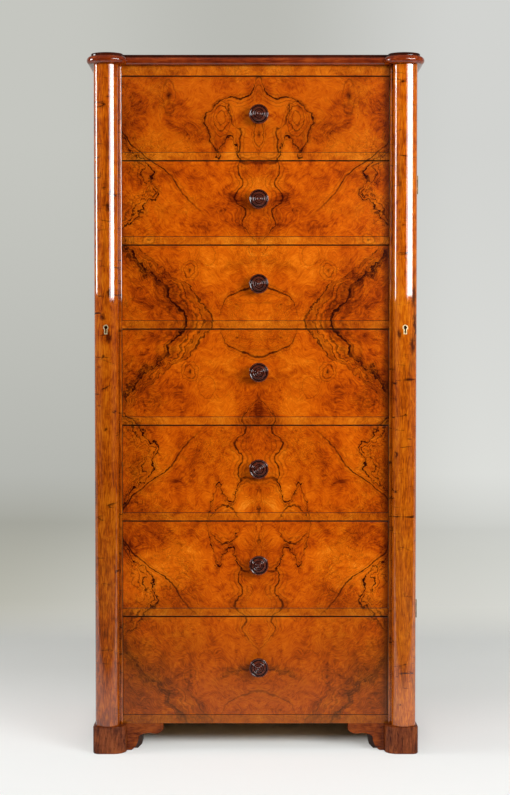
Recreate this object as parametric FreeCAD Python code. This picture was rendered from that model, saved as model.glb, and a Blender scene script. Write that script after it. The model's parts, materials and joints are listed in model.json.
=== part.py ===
import FreeCAD, Part
import math
import os

# A seven-drawer locking-stile chest (semainier). Millimetres, +Z up, the front faces -Y.
# The origin is at the middle of the bounding box, on the floor.

# Driving dimensions: the case
case_width = 600.0
case_depth = 400.0            # plane of the drawer fronts to the back
foot_height = 51.0
bottom_rail_height = 16.5
divider_height = 14.5
frieze_height = 18.0
rail_depth = 60.0
side_thickness = 18.0
back_thickness = 8.0
back_board_count = 4
back_rebate = 9.0

# Driving dimensions: the drawer openings, from the top down
upper_drawer_height = 142.2
middle_drawer_height = 165.5
bottom_drawer_height = 187.0
upper_drawer_count = 3
middle_drawer_count = 3

# Driving dimensions: pilasters and posts
nose_width = 45.0             # the half-round part of a pilaster
nose_rise = 28.0
nose_shoulder_radius = 15.0
nose_crown_radius = 32.0
quirk_width = 5.0             # the flat strip between the half-round and the drawers
quirk_rise = 4.0
quirk_arris = 1.5
post_depth = 25.0

# Driving dimensions: the moulded top
top_torus_height = 14.5
top_torus_overhang = 13.0
top_torus_lower_chamfer = 4.0
top_torus_upper_radius = 7.5
top_bead_height = 5.5
top_bead_overhang = 5.0
top_bead_chamfer = 2.0

# Driving dimensions: plinth and feet
plinth_proud = 4.0
plinth_thickness = 20.0
block_width = 62.0
block_rise = 31.0
block_outer_radius = 12.0
block_inner_radius = 24.0
bracket_thickness = 18.0
bracket_reach = 68.0          # from the block to the bracket's tip
bracket_tip_height = 12.0
bracket_shelf_height = 26.0   # height of the cusp above the floor
bracket_toe_width = 8.0
bracket_swell = 3.0           # how far the ogee's upper curve bulges
bracket_hollow = 1.5          # how far its lower curve is hollowed
bracket_hip = 9.0             # the toe's curve, out from the toe and up from the floor
glue_block_reach = 27.0
glue_block_depth = 40.0

# Driving dimensions: drawers
front_thickness = 20.0
lining_thickness = 9.0
drawer_bottom_thickness = 6.0
drawer_bottom_height = 8.0    # lower edge of the sides to the bottom panel
groove_depth = 4.0
lining_drop = 3.0             # the linings stop this far below the top of the front
dovetail_lap = 5.0
dovetail_pitch = 42.0
dovetail_pin = 9.0
dovetail_slope = 1.0 / 7.0
stop_width = 30.0
stop_length = 12.0
stop_height = 5.0
stop_spacing = 210.0          # middle to middle of a drawer's two stops
runner_width = 22.0           # part of a runner that lies under the drawer
guide_height = 20.0

# Driving dimensions: knobs
knob_offset = 6.0             # the row of knobs stands right of the middle of the drawers
knob_radius = 18.5
knob_length = 30.0
knob_neck_radius = 9.0
knob_head_height = 14.0
upper_knob_rise = -2.1        # knob above the middle of its drawer, by row
middle_knob_rise = 1.7
bottom_knob_rise = 0.0

# Driving dimensions: hinges
hinge_length = 34.0
hinge_leaf_width = 15.0
hinge_leaf_thickness = 1.1
hinge_knuckle_radius = 2.5
hinge_pin_radius = 1.2
upper_hinge_drop = 220.7      # underside of the top to the hinge's middle
lower_hinge_rise = 218.0      # lower end of the pilaster to the hinge's middle

# Driving dimensions: lock and escutcheons
lock_width = 30.0
lock_height = 50.0
lock_depth = 12.0
lock_wall = 1.5
bolt_length = 14.0
bolt_height = 5.0
bolt_thickness = 3.6
bolt_travel = 8.0
bolt_above_keyhole = 11.0
staple_reach = 9.0
staple_width = 2.5
staple_height = 11.0
staple_plate_width = 16.0
staple_plate_height = 40.0
staple_plate_thickness = 1.2
escutcheon_width = 10.0
escutcheon_height = 17.6
escutcheon_leg_width = 6.4
escutcheon_wall = 1.3
escutcheon_depth = 4.0
dummy_keyhole_depth = 9.0
keyhole_below_divider = 2.0   # middle of the keyhole below the divider over the fourth drawer

# Clearances
drawer_side_gap = 0.6
drawer_top_gap = 1.5
drawer_bottom_gap = 0.4
drawer_back_gap = 32.0        # drawer back to the back boards
stop_gap = 0.5
stile_back_gap = 0.4
stile_end_gap = 0.5
hinge_side_gap = 0.4          # case side to the hinge axis
knuckle_gap = 0.3
pin_gap = 0.05
bolt_gap = 0.3
staple_gap = 1.2
swing_gap = 0.4

# Derived levels and planes
drawer_heights = [upper_drawer_height] * upper_drawer_count
drawer_heights += [middle_drawer_height] * middle_drawer_count
drawer_heights += [bottom_drawer_height]
drawer_count = len(drawer_heights)
knob_rises = [upper_knob_rise] * upper_drawer_count
knob_rises += [middle_knob_rise] * middle_drawer_count
knob_rises += [bottom_knob_rise]
drawer_length = case_depth - back_thickness - drawer_back_gap
case_floor = foot_height + bottom_rail_height
frieze_bottom = case_floor + sum(drawer_heights) + (drawer_count - 1) * divider_height
case_top = frieze_bottom + frieze_height
overall_depth = case_depth + nose_rise + top_torus_overhang
back = overall_depth / 2
front = back - case_depth
half_case = case_width / 2
pilaster_width = nose_width + quirk_width
post_inner = half_case - pilaster_width
side_inner = half_case - side_thickness
nose_middle = half_case - nose_width / 2
pilaster_middle = half_case - pilaster_width / 2
block_outer = half_case + plinth_proud
block_inner = block_outer - block_width
back_inner = back - back_thickness
stile_back = front - stile_back_gap
drawer_half = post_inner - drawer_side_gap
hinge_x = half_case + hinge_side_gap
hinge_y = front - stile_back_gap / 2
x_axis = FreeCAD.Vector(1, 0, 0)
y_axis = FreeCAD.Vector(0, 1, 0)
z_axis = FreeCAD.Vector(0, 0, 1)
origin = FreeCAD.Vector(0, 0, 0)


def box(x0, x1, y0, y1, z0, z1):
    """A board between two corners."""
    return Part.makeBox(x1 - x0, y1 - y0, z1 - z0, FreeCAD.Vector(x0, y0, z0))


def mirrored(shape):
    """The same piece on the other side of the chest."""
    return shape.mirror(origin, x_axis)


def fused(shapes):
    return shapes[0].fuse(shapes[1:]).removeSplitter() if len(shapes) > 1 else shapes[0]


def save(name, shapes):
    shape = shapes[0] if len(shapes) == 1 else Part.makeCompound(shapes)
    for solid in shape.Solids:
        if not solid.isValid() or solid.Volume <= 0:
            raise ValueError(name + " has a broken solid")
    if len(shape.Solids) != len(shapes):
        raise ValueError(name + " has %d solids for %d pieces" % (len(shape.Solids), len(shapes)))
    shape.exportStep(os.path.join("parts", name + ".step"))
    print("%-28s %3d solid(s)  %9.0f mm3" % (name, len(shape.Solids), shape.Volume))


def arc(center, radius, start, end):
    """A level arc about a centre, from one angle to another in degrees."""
    circle = Part.Circle(center, z_axis, radius)
    return Part.ArcOfCircle(circle, math.radians(start), math.radians(end)).toShape()


def prism(edges, height):
    """Closed outline of edges in a level plane, raised by a height."""
    wire = Part.Wire(Part.__sortEdges__(edges))
    return Part.Face(wire).extrude(FreeCAD.Vector(0, 0, height))


def nose(width, grow, z0, height):
    """A half-round at the right corner: straight flanks, two shoulders, a flatter crown; grown outwards."""
    middle_x = half_case - width / 2
    shoulder_x = width / 2 - nose_shoulder_radius
    reach = nose_crown_radius - nose_shoulder_radius
    crown_y = front - nose_rise + nose_crown_radius
    shoulder_y = crown_y - math.sqrt(reach ** 2 - shoulder_x ** 2)
    turn = math.degrees(math.asin(shoulder_x / reach))
    half = width / 2 + grow
    shoulder = nose_shoulder_radius + grow
    crown = nose_crown_radius + grow
    right = FreeCAD.Vector(middle_x + half, shoulder_y, z0)
    left = FreeCAD.Vector(middle_x - half, shoulder_y, z0)
    right_foot = FreeCAD.Vector(right.x, front, z0)
    left_foot = FreeCAD.Vector(left.x, front, z0)
    edges = [
        arc(FreeCAD.Vector(middle_x - shoulder_x, shoulder_y, z0), shoulder, 180, 270 - turn),
        arc(FreeCAD.Vector(middle_x, crown_y, z0), crown, 270 - turn, 270 + turn),
        arc(FreeCAD.Vector(middle_x + shoulder_x, shoulder_y, z0), shoulder, 270 + turn, 360),
        Part.makeLine(right, right_foot),
        Part.makeLine(right_foot, left_foot),
        Part.makeLine(left_foot, left),
    ]
    return prism(edges, height)


def keyhole(width, height, leg_width, x, y, z, depth):
    """A keyhole-shaped plug: a round head with a parallel leg under it, running back from y."""
    head = width / 2
    leg = leg_width / 2
    head_z = z + height / 2 - head
    plug = Part.makeCylinder(head, depth, FreeCAD.Vector(x, y, head_z), y_axis)
    return fused([plug, box(x - leg, x + leg, y, y + depth, z - height / 2, head_z)])


# Top board


def rim_edges(piece, z, sides):
    """A piece's level edges at one height, on the sides that face outwards."""
    rim = []
    for edge in piece.Edges:
        level = all(abs(v.Z - z) < 0.01 for v in edge.Vertexes)
        middle = edge.valueAt((edge.FirstParameter + edge.LastParameter) / 2)
        if level and sides(middle):
            rim.append(edge)
    return rim


def moulded_layer(grow, z0, height, shape_edges):
    """One layer of the top: slab, front strip and the two half-round corners, with their edges shaped."""
    edge_x = half_case + grow
    slab = box(-edge_x, edge_x, front, back, z0, z0 + height)
    strip = box(-pilaster_middle, pilaster_middle, front - grow, front, z0, z0 + height)
    corner = nose(pilaster_width, grow, z0, height)
    pieces = [
        (slab, lambda p: abs(p.x) > edge_x - 0.01),
        (strip, lambda p: p.y < front - grow + 0.01),
        (corner, lambda p: p.y < front - 0.01),
    ]
    shaped = [shape_edges(piece, sides) for piece, sides in pieces]
    return fused(shaped + [mirrored(shaped[-1])])


def top_board():
    torus_top = case_top + top_torus_height
    bead_top = torus_top + top_bead_height

    def thumb(piece, sides):
        piece = piece.makeChamfer(top_torus_lower_chamfer, rim_edges(piece, case_top, sides))
        return piece.makeFillet(top_torus_upper_radius, rim_edges(piece, torus_top, sides))

    def eased(piece, sides):
        return piece.makeChamfer(top_bead_chamfer, rim_edges(piece, bead_top, sides))

    torus = moulded_layer(top_torus_overhang, case_top, top_torus_height, thumb)
    bead = moulded_layer(top_bead_overhang, torus_top, top_bead_height, eased)
    return fused([torus, bead])


# Pilasters, posts and sides


def pilaster(y0, z0, z1):
    """The right pilaster's section from a back plane forwards, with the quirk strip on its inner edge."""
    behind = box(post_inner, half_case, y0, front + nose_rise, z0, z1)
    body = nose(nose_width, 0.0, z0, z1 - z0).cut(behind)
    strip = box(post_inner, nose_middle, front - quirk_rise, y0, z0, z1)
    arris = [
        e for e in strip.Edges
        if all(abs(v.X - post_inner) < 0.01 and abs(v.Y - front + quirk_rise) < 0.01 for v in e.Vertexes)
    ]
    return fused([body, strip.makeFillet(quirk_arris, arris)])


def hinge_middles():
    return [case_top - upper_hinge_drop, foot_height + lower_hinge_rise]


def hinge_relief():
    """Round clearance in the wood for both hinges' knuckles."""
    reliefs = []
    radius = hinge_knuckle_radius + knuckle_gap
    length = hinge_length + 2 * knuckle_gap
    for middle in hinge_middles():
        base = FreeCAD.Vector(hinge_x, hinge_y, middle - length / 2)
        reliefs.append(Part.makeCylinder(radius, length, base))
    return Part.makeCompound(reliefs)


def hinge_bed(y0, y1):
    """Recesses for the hinge leaves between two planes."""
    beds = []
    for middle in hinge_middles():
        low = middle - hinge_length / 2
        beds.append(box(half_case - hinge_leaf_width, half_case + 1, y0, y1, low, low + hinge_length))
    return Part.makeCompound(beds)


def leaf_wood_cut():
    return hinge_bed(front, front + hinge_leaf_thickness)


lock_x = nose_middle
lock_z = case_floor + bottom_drawer_height + middle_drawer_count * (middle_drawer_height + divider_height)
lock_z -= keyhole_below_divider
staple_z = lock_z + bolt_above_keyhole
lock_x0 = lock_x - lock_width / 2
lock_x1 = lock_x + lock_width / 2
lock_z0 = staple_z + staple_plate_height / 2 - lock_height
nose_face_y = front - nose_rise
keyhole_width = escutcheon_width - 2 * escutcheon_wall
keyhole_height = escutcheon_height - 2 * escutcheon_wall
keyhole_leg = escutcheon_leg_width - 2 * escutcheon_wall
staple_x = lock_x0 + lock_wall + staple_gap + bolt_travel
bolt_x0 = staple_x + staple_width / 2 + staple_gap
bolt_y = front - staple_reach / 2
staple_far_x = staple_x - staple_width / 2
slot_x0 = hinge_x - math.hypot(hinge_x - staple_far_x, staple_reach) - swing_gap


def thread_outline(x, y, depth):
    """The outside of the keyhole thread."""
    return keyhole(escutcheon_width, escutcheon_height, escutcheon_leg_width, x, y, lock_z, depth)


def key_outline(x, y, depth):
    """The hole inside the keyhole thread."""
    return keyhole(keyhole_width, keyhole_height, keyhole_leg, x, y, lock_z, depth)


def escutcheon(x):
    """A keyhole thread: a brass liner let into the half-round, flush with its crown."""
    return thread_outline(x, nose_face_y, escutcheon_depth).cut(key_outline(x, nose_face_y, escutcheon_depth))


def escutcheon_bed(x, hole_depth):
    return fused([thread_outline(x, nose_face_y, escutcheon_depth), key_outline(x, nose_face_y, hole_depth)])


def pilaster_left():
    fixed = mirrored(pilaster(front, foot_height, case_top))
    return fixed.cut(escutcheon_bed(-lock_x, dummy_keyhole_depth))


def locking_stile():
    stile = pilaster(stile_back, foot_height + stile_end_gap, case_top - stile_end_gap)
    stile = stile.cut(escutcheon_bed(lock_x, nose_rise - stile_back_gap))
    stile = stile.cut(box(lock_x0, lock_x1, stile_back - lock_depth, front, lock_z0, lock_z0 + lock_height))
    stile = stile.cut(hinge_bed(stile_back - hinge_leaf_thickness, front))
    return stile.cut(hinge_relief())


def side_right():
    board = box(side_inner, half_case, front, back, foot_height, case_top)
    rebate = box(side_inner, side_inner + back_rebate, back_inner, back, foot_height, case_top)
    return board.cut(rebate)


def post_right():
    return box(post_inner, side_inner, front, front + post_depth, foot_height, case_top)


def staple_plate_box():
    low = staple_z - staple_plate_height / 2
    x0 = staple_x - staple_plate_width / 2
    x1 = x0 + staple_plate_width
    return box(x0, x1, front, front + staple_plate_thickness, low, low + staple_plate_height)


def staple_plate():
    """A plate on the post with a pierced tongue that the bolt shoots through."""
    low = staple_z - staple_height / 2
    tongue = box(
        staple_x - staple_width / 2, staple_x + staple_width / 2,
        front - staple_reach, front, low, low + staple_height,
    )
    eye_half_y = bolt_thickness / 2 + bolt_gap
    eye_half_z = bolt_height / 2 + bolt_gap
    eye = box(
        staple_x - staple_width, staple_x + staple_width,
        bolt_y - eye_half_y, bolt_y + eye_half_y, staple_z - eye_half_z, staple_z + eye_half_z,
    )
    return fused([staple_plate_box(), tongue]).cut(eye)


def back_boards():
    """Upright boards that fill the rebates between the sides."""
    span = 2 * (side_inner + back_rebate)
    width = span / back_board_count
    boards = []
    for i in range(back_board_count):
        x0 = -span / 2 + i * width
        boards.append(box(x0, x0 + width, back_inner, back, foot_height, case_top))
    return boards


# Lock


def lock_case():
    """The lock's box in the stile: a well for the bolt, a slot for the tongue, a keyhole and a ledge."""
    y0 = stile_back - lock_depth
    well_low = staple_z - staple_height / 2 - staple_gap
    well_high = staple_z + staple_height / 2 + staple_gap
    case = box(lock_x0, lock_x1, y0, stile_back, lock_z0, lock_z0 + lock_height)
    well = box(
        lock_x0 + lock_wall, lock_x1 - lock_wall, y0 + lock_wall, stile_back - lock_wall, well_low, well_high,
    )
    slot = box(slot_x0, bolt_x0, y0 + lock_wall, stile_back, well_low, well_high)
    hole = key_outline(lock_x, y0, lock_depth - lock_wall)
    ledge = box(
        bolt_x0, lock_x1 - lock_wall, y0 + lock_wall, stile_back - lock_wall,
        well_low, staple_z - bolt_height / 2 - bolt_gap,
    )
    return fused([case.cut([well, slot, hole]), ledge])


def lock_bolt():
    return box(
        bolt_x0, bolt_x0 + bolt_length,
        bolt_y - bolt_thickness / 2, bolt_y + bolt_thickness / 2,
        staple_z - bolt_height / 2, staple_z + bolt_height / 2,
    )


# Hinges


def hinge_leaf(middle, y0, y1, on_case):
    """One leaf with its half of the knuckle: the lower half on the case, the upper half on the stile."""
    low = middle - hinge_length / 2
    high = middle + hinge_length / 2
    knuckle_low = low if on_case else middle + knuckle_gap
    knuckle_height = middle - low if on_case else high - knuckle_low
    clear_x = hinge_x - hinge_knuckle_radius - knuckle_gap
    base = FreeCAD.Vector(hinge_x, hinge_y, knuckle_low)
    leaf = box(half_case - hinge_leaf_width, clear_x, y0, y1, low, high)
    tongue = box(clear_x, hinge_x, y0, y1, knuckle_low, knuckle_low + knuckle_height)
    knuckle = Part.makeCylinder(hinge_knuckle_radius, knuckle_height, base)
    bore_radius = hinge_pin_radius if on_case else hinge_pin_radius + pin_gap
    bore = Part.makeCylinder(bore_radius, knuckle_height, base)
    return fused([leaf, tongue, knuckle]).cut(bore)


def hinge_pin(middle):
    base = FreeCAD.Vector(hinge_x, hinge_y, middle - hinge_length / 2)
    return Part.makeCylinder(hinge_pin_radius, hinge_length, base)


# Plinth and feet


def plinth_block():
    """The block under the right pilaster: a half-round front, tighter on the outside than on the inside."""
    block = box(block_inner, block_outer, front - block_rise, front, 0, foot_height)

    def upright(x):
        return [
            e for e in block.Edges
            if all(abs(v.X - x) < 0.01 and abs(v.Y - front + block_rise) < 0.01 for v in e.Vertexes)
        ]

    block = block.makeFillet(block_outer_radius, upright(block_outer))
    return block.makeFillet(block_inner_radius, upright(block_inner))


def bracket():
    """The right shaped bracket: a tip under the rail, a long ogee to a cusp, and a round toe on the floor."""
    outer_x = block_outer - plinth_thickness
    toe_x = block_inner - bracket_toe_width
    tip = FreeCAD.Vector(block_inner - bracket_reach, front, foot_height - bracket_tip_height)
    cusp = FreeCAD.Vector(toe_x - bracket_shelf_height / 2, front, bracket_shelf_height)
    toe = FreeCAD.Vector(toe_x, front, 0)
    bend = (tip + cusp) / 2
    bulge = (tip + bend) / 2 - z_axis * bracket_swell
    hollow = (bend + cusp) / 2 + z_axis * bracket_hollow
    hip = toe + (z_axis - x_axis) * bracket_hip
    top_inner = FreeCAD.Vector(tip.x, front, foot_height)
    top_outer = FreeCAD.Vector(outer_x, front, foot_height)
    foot_outer = FreeCAD.Vector(outer_x, front, 0)
    edges = [
        Part.makeLine(top_outer, top_inner),
        Part.makeLine(top_inner, tip),
        Part.Arc(tip, bulge, bend).toShape(),
        Part.Arc(bend, hollow, cusp).toShape(),
        Part.Arc(cusp, hip, toe).toShape(),
        Part.makeLine(toe, foot_outer),
        Part.makeLine(foot_outer, top_outer),
    ]
    face = Part.Face(Part.Wire(Part.__sortEdges__(edges)))
    return face.extrude(y_axis * bracket_thickness)


def side_plinth():
    return box(block_outer - plinth_thickness, block_outer, front, back, 0, foot_height)


def rear_plinth():
    inner = block_outer - plinth_thickness
    return box(-inner, inner, back - plinth_thickness, back, 0, foot_height)


def glue_blocks():
    """Corner blocks behind the brackets and in front of the rear plinth, right side."""
    outer = block_outer - plinth_thickness
    inner = block_inner - glue_block_reach
    front_y = front + bracket_thickness
    back_y = back - plinth_thickness
    front_block = box(inner, outer, front_y, front_y + glue_block_depth, 0, foot_height)
    back_block = box(inner, outer, back_y - glue_block_depth, back_y, 0, foot_height)
    upright = [e for e in front_block.Edges if all(abs(v.X - inner) < 0.01 for v in e.Vertexes)]
    low = [e for e in upright if all(abs(v.Z) < 0.01 for v in e.Vertexes)]
    return [front_block.makeChamfer(bracket_toe_width, low), back_block]


# Rails, runners, guides and stops


def opening_floors():
    """Floor level of each drawer opening, from the top drawer down."""
    floors = []
    level = frieze_bottom
    for height in drawer_heights:
        level -= height
        floors.append(level)
        level -= divider_height
    return floors


def front_rail(z0, height):
    return box(-post_inner, post_inner, front, front + rail_depth, z0, z0 + height)


def runner(z0, height):
    return box(drawer_half - runner_width, side_inner, front + rail_depth, back_inner, z0, z0 + height)


def guide(z0):
    return box(post_inner, side_inner, front + post_depth, back_inner, z0, z0 + guide_height)


def drawer_stop(z0):
    x0 = (stop_spacing - stop_width) / 2
    y0 = front + front_thickness + stop_gap
    return box(x0, x0 + stop_width, y0, y0 + stop_length, z0, z0 + stop_height)


# Drawers


def tails(z0, z1, shoulder_y, reach):
    """Dovetail tails for the right lining, from a shoulder plane to the tails' ends at shoulder_y + reach."""
    count = max(2, round((z1 - z0) / dovetail_pitch))
    pitch = (z1 - z0) / count
    end_y = shoulder_y + reach
    flare = abs(reach) * dovetail_slope
    x0 = drawer_half - lining_thickness
    shapes = []
    for i in range(count):
        middle = z0 + (i + 0.5) * pitch
        half = (pitch - dovetail_pin) / 2
        corners = [
            FreeCAD.Vector(x0, shoulder_y, middle - half),
            FreeCAD.Vector(x0, end_y, middle - half - flare),
            FreeCAD.Vector(x0, end_y, middle + half + flare),
            FreeCAD.Vector(x0, shoulder_y, middle + half),
        ]
        outline = Part.makePolygon(corners + corners[:1])
        shapes.append(Part.Face(outline).extrude(FreeCAD.Vector(lining_thickness, 0, 0)))
    return shapes


def drawer_parts(floor, opening_height, knob_rise):
    """Front, linings with back, and bottom of one drawer, joined by dovetails and grooves."""
    z0 = floor + drawer_bottom_gap
    z1 = floor + opening_height - drawer_top_gap
    inside_y = front + front_thickness
    end_y = front + drawer_length
    lining_top = z1 - lining_drop
    panel_z0 = z0 + drawer_bottom_height
    panel_z1 = panel_z0 + drawer_bottom_thickness
    lining_inner = drawer_half - lining_thickness
    panel_half = lining_inner + groove_depth
    panel = box(-panel_half, panel_half, inside_y - groove_depth, end_y, panel_z0, panel_z1)

    front_tails = tails(z0 + lining_drop, lining_top, inside_y, dovetail_lap - front_thickness)
    back_y = end_y - lining_thickness
    back_tails = tails(panel_z1, lining_top - lining_drop, back_y, lining_thickness)
    back_board = box(-drawer_half, drawer_half, back_y, end_y, panel_z1, lining_top - lining_drop)
    back_board = back_board.cut(back_tails + [mirrored(t) for t in back_tails])

    lining = box(lining_inner, drawer_half, inside_y, end_y, z0, lining_top)
    lining = fused([lining] + front_tails).cut([back_board, panel])

    board = box(-drawer_half, drawer_half, front, inside_y, z0, z1)
    board = board.cut(front_tails + [mirrored(t) for t in front_tails] + [panel])
    return board, [lining, mirrored(lining), back_board], panel, (z0 + z1) / 2 + knob_rise


def knob(z):
    """A turned knob seated on the drawer front: a neck and a broad flat head."""
    base = FreeCAD.Vector(knob_offset, front, z)
    head_back = knob_length - knob_head_height
    neck = Part.makeCylinder(knob_neck_radius, head_back, base, -y_axis)
    head = Part.makeCylinder(knob_radius, knob_head_height, base - y_axis * head_back, -y_axis)
    return fused([neck, head])


# The case

save("top_board", [top_board()])
side = side_right()
post = post_right()
save("side_left", [mirrored(side)])
save("side_right", [side.cut(hinge_relief()).cut(leaf_wood_cut())])
save("front_post_left", [mirrored(post)])
save("front_post_right", [post.cut(leaf_wood_cut()).cut(staple_plate_box())])
save("pilaster_left", [pilaster_left()])
save("back_boards", back_boards())
save("frieze_rail", [front_rail(frieze_bottom, frieze_height)])
save("bottom_rail", [front_rail(foot_height, bottom_rail_height)])
save("bottom_board", [box(-side_inner, side_inner, front + rail_depth, back_inner, foot_height, case_floor)])

floors = opening_floors()
save("drawer_dividers", [front_rail(z - divider_height, divider_height) for z in floors[:-1]])
runners = [runner(z - divider_height, divider_height) for z in floors[:-1]]
runners.append(runner(frieze_bottom, frieze_height))
save("drawer_runners", runners + [mirrored(r) for r in runners])
guides = [guide(z) for z in floors]
save("drawer_guides", guides + [mirrored(g) for g in guides])
stops = [drawer_stop(z) for z in floors]
save("drawer_stops", stops + [mirrored(s) for s in stops])

# Plinth and feet

save("plinth_block_left", [mirrored(plinth_block())])
save("plinth_block_right", [plinth_block()])
save("bracket_left", [mirrored(bracket())])
save("bracket_right", [bracket()])
save("side_plinth_left", [mirrored(side_plinth())])
save("side_plinth_right", [side_plinth()])
save("rear_plinth", [rear_plinth()])
save("glue_blocks", glue_blocks() + [mirrored(b) for b in glue_blocks()])

# The locking stile, its lock and hinges

save("locking_stile", [locking_stile()])
save("escutcheon_left", [escutcheon(-lock_x)])
save("escutcheon_right", [escutcheon(lock_x)])
save("staple_plate", [staple_plate()])
save("lock_case", [lock_case()])
save("lock_bolt", [lock_bolt()])
case_leaf_back = front + hinge_leaf_thickness
stile_leaf_front = stile_back - hinge_leaf_thickness
save("hinge_leaves_case", [hinge_leaf(z, front, case_leaf_back, True) for z in hinge_middles()])
save("hinge_leaves_stile", [hinge_leaf(z, stile_leaf_front, stile_back, False) for z in hinge_middles()])
save("hinge_pins", [hinge_pin(z) for z in hinge_middles()])

# The drawers, numbered from the top

for number, (floor, height, rise) in enumerate(zip(floors, drawer_heights, knob_rises), start=1):
    board, linings, panel, knob_z = drawer_parts(floor, height, rise)
    save("drawer_%d_front" % number, [board])
    save("drawer_%d_linings" % number, linings)
    save("drawer_%d_bottom" % number, [panel])
    save("drawer_%d_knob" % number, [knob(knob_z)])
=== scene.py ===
import functools
import json
import math

import bmesh
import bpy
from mathutils import Matrix, Vector


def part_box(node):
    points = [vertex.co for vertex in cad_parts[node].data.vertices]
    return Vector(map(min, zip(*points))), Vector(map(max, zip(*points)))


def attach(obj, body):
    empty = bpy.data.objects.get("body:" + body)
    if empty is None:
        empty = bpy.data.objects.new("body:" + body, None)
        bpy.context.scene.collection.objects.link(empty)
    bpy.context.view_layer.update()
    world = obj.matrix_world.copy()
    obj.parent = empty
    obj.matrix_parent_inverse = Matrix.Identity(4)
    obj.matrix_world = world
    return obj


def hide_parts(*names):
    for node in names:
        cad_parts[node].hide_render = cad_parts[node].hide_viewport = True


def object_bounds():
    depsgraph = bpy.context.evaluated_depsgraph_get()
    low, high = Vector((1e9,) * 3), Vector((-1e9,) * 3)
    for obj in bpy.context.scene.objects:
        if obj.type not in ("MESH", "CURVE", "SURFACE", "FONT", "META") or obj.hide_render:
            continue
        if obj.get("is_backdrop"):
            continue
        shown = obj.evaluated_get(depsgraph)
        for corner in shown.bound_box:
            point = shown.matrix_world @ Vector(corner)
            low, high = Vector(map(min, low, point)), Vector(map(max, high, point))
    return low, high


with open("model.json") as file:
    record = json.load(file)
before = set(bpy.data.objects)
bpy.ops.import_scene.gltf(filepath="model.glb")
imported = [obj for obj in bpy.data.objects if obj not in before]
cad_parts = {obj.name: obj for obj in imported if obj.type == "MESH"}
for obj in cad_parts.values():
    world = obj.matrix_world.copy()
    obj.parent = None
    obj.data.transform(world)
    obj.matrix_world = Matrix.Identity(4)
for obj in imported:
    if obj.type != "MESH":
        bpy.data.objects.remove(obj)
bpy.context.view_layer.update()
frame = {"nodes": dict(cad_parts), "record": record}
scene = bpy.context.scene
mm = 0.001
near = 1e-6          # metres: points and planes closer than this count as one
print("frame loaded,", len(frame["nodes"]), "nodes")

# planes and outlines that several pieces share, in metres, as the case was built
caseForm = {
    "half": 300 * mm,            # middle to the outside of the case
    "front": -179.5 * mm,        # plane of the drawer fronts
    "back": 220.5 * mm,
    "noseRise": 28 * mm,         # the half-rounds stand this far in front
    "noseShoulder": 15 * mm,
    "noseCrown": 32 * mm,
    "noseWidth": 45 * mm,
    "quirk": 5 * mm,             # flat strip beside the half-round
    "quirkRise": 4 * mm,
    "footTop": 51 * mm,
    "caseTop": 1282.6 * mm,
}
front = caseForm["front"]
half = caseForm["half"]


# helpers for meshes


def lineTo(bm, pen, x, y, z=None):
    # draws a straight line on from the vertex pen and returns its far end
    end = bmesh.ops.extrude_vert_indiv(bm, verts=[pen])["verts"][0]
    end.co = (x, y, pen.co.z if z is None else z)
    return end


def arcTo(bm, pen, centre, degrees, axis=(0, 0, 1), pace=6):
    # draws an arc about a centre, one step for each few degrees
    steps = max(2, math.ceil(abs(degrees) / pace))
    made = bmesh.ops.spin(
        bm, geom=[pen], cent=centre, axis=axis, angle=math.radians(degrees), steps=steps
    )
    return [g for g in made["geom_last"] if isinstance(g, bmesh.types.BMVert)][0]


def bowTo(bm, pen, target, swell):
    # draws a bowed line in the plane of the front; a negative swell hollows it
    start = pen.co.copy()
    target = Vector(target)
    chord = target - start
    radius = (chord.length ** 2 / 4 + swell ** 2) / (2 * swell)
    across = Vector((chord.z, 0, -chord.x)).normalized()
    centre = (start + target) / 2 + across * (radius - swell)
    degrees = math.degrees(2 * math.asin(chord.length / (2 * radius)))
    end = arcTo(bm, pen, centre, degrees, axis=(0, 1, 0))
    end.co = target
    return end


def raiseFace(bm, face, shift):
    # extrudes a face and returns it at its new place
    made = bmesh.ops.extrude_face_region(bm, geom=[face])
    moved = [g for g in made["geom"] if isinstance(g, bmesh.types.BMVert)]
    bmesh.ops.translate(bm, verts=moved, vec=shift)
    return [g for g in made["geom"] if isinstance(g, bmesh.types.BMFace)][0]


def raiseOutline(bm, shift):
    # closes the drawn outline, fills it and makes it a solid
    bmesh.ops.remove_doubles(bm, verts=bm.verts[:], dist=near)
    face = bmesh.ops.contextual_create(bm, geom=bm.verts[:] + bm.edges[:])["faces"][0]
    raiseFace(bm, face, shift)
    bmesh.ops.recalc_face_normals(bm, faces=bm.faces[:])


def noseArcs(bm, pen, width, grow):
    # the half-round of a pilaster, from its inner flank to its outer flank
    shoulder, crown = caseForm["noseShoulder"], caseForm["noseCrown"]
    middleX = half - width / 2
    shoulderX = width / 2 - shoulder
    crownY = front - caseForm["noseRise"] + crown
    shoulderY = crownY - math.sqrt((crown - shoulder) ** 2 - shoulderX ** 2)
    turn = math.degrees(math.asin(shoulderX / (crown - shoulder)))
    innerX = middleX - shoulderX
    lead = 0.0                       # a front strip may cover the first degrees of the arc
    if front - grow < shoulderY:
        lead = math.degrees(math.asin((shoulderY - front + grow) / (shoulder + grow)))
        footX = innerX - math.cos(math.radians(lead)) * (shoulder + grow)
        pen = lineTo(bm, pen, footX, front - grow)
    else:
        pen = lineTo(bm, pen, middleX - width / 2 - grow, pen.co.y)
        pen = lineTo(bm, pen, pen.co.x, shoulderY)
    pen = arcTo(bm, pen, (innerX, shoulderY, 0), 90 - turn - lead)
    pen = arcTo(bm, pen, (middleX, crownY, 0), 2 * turn, pace=4)
    return arcTo(bm, pen, (middleX + shoulderX, shoulderY, 0), 90 - turn)


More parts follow.
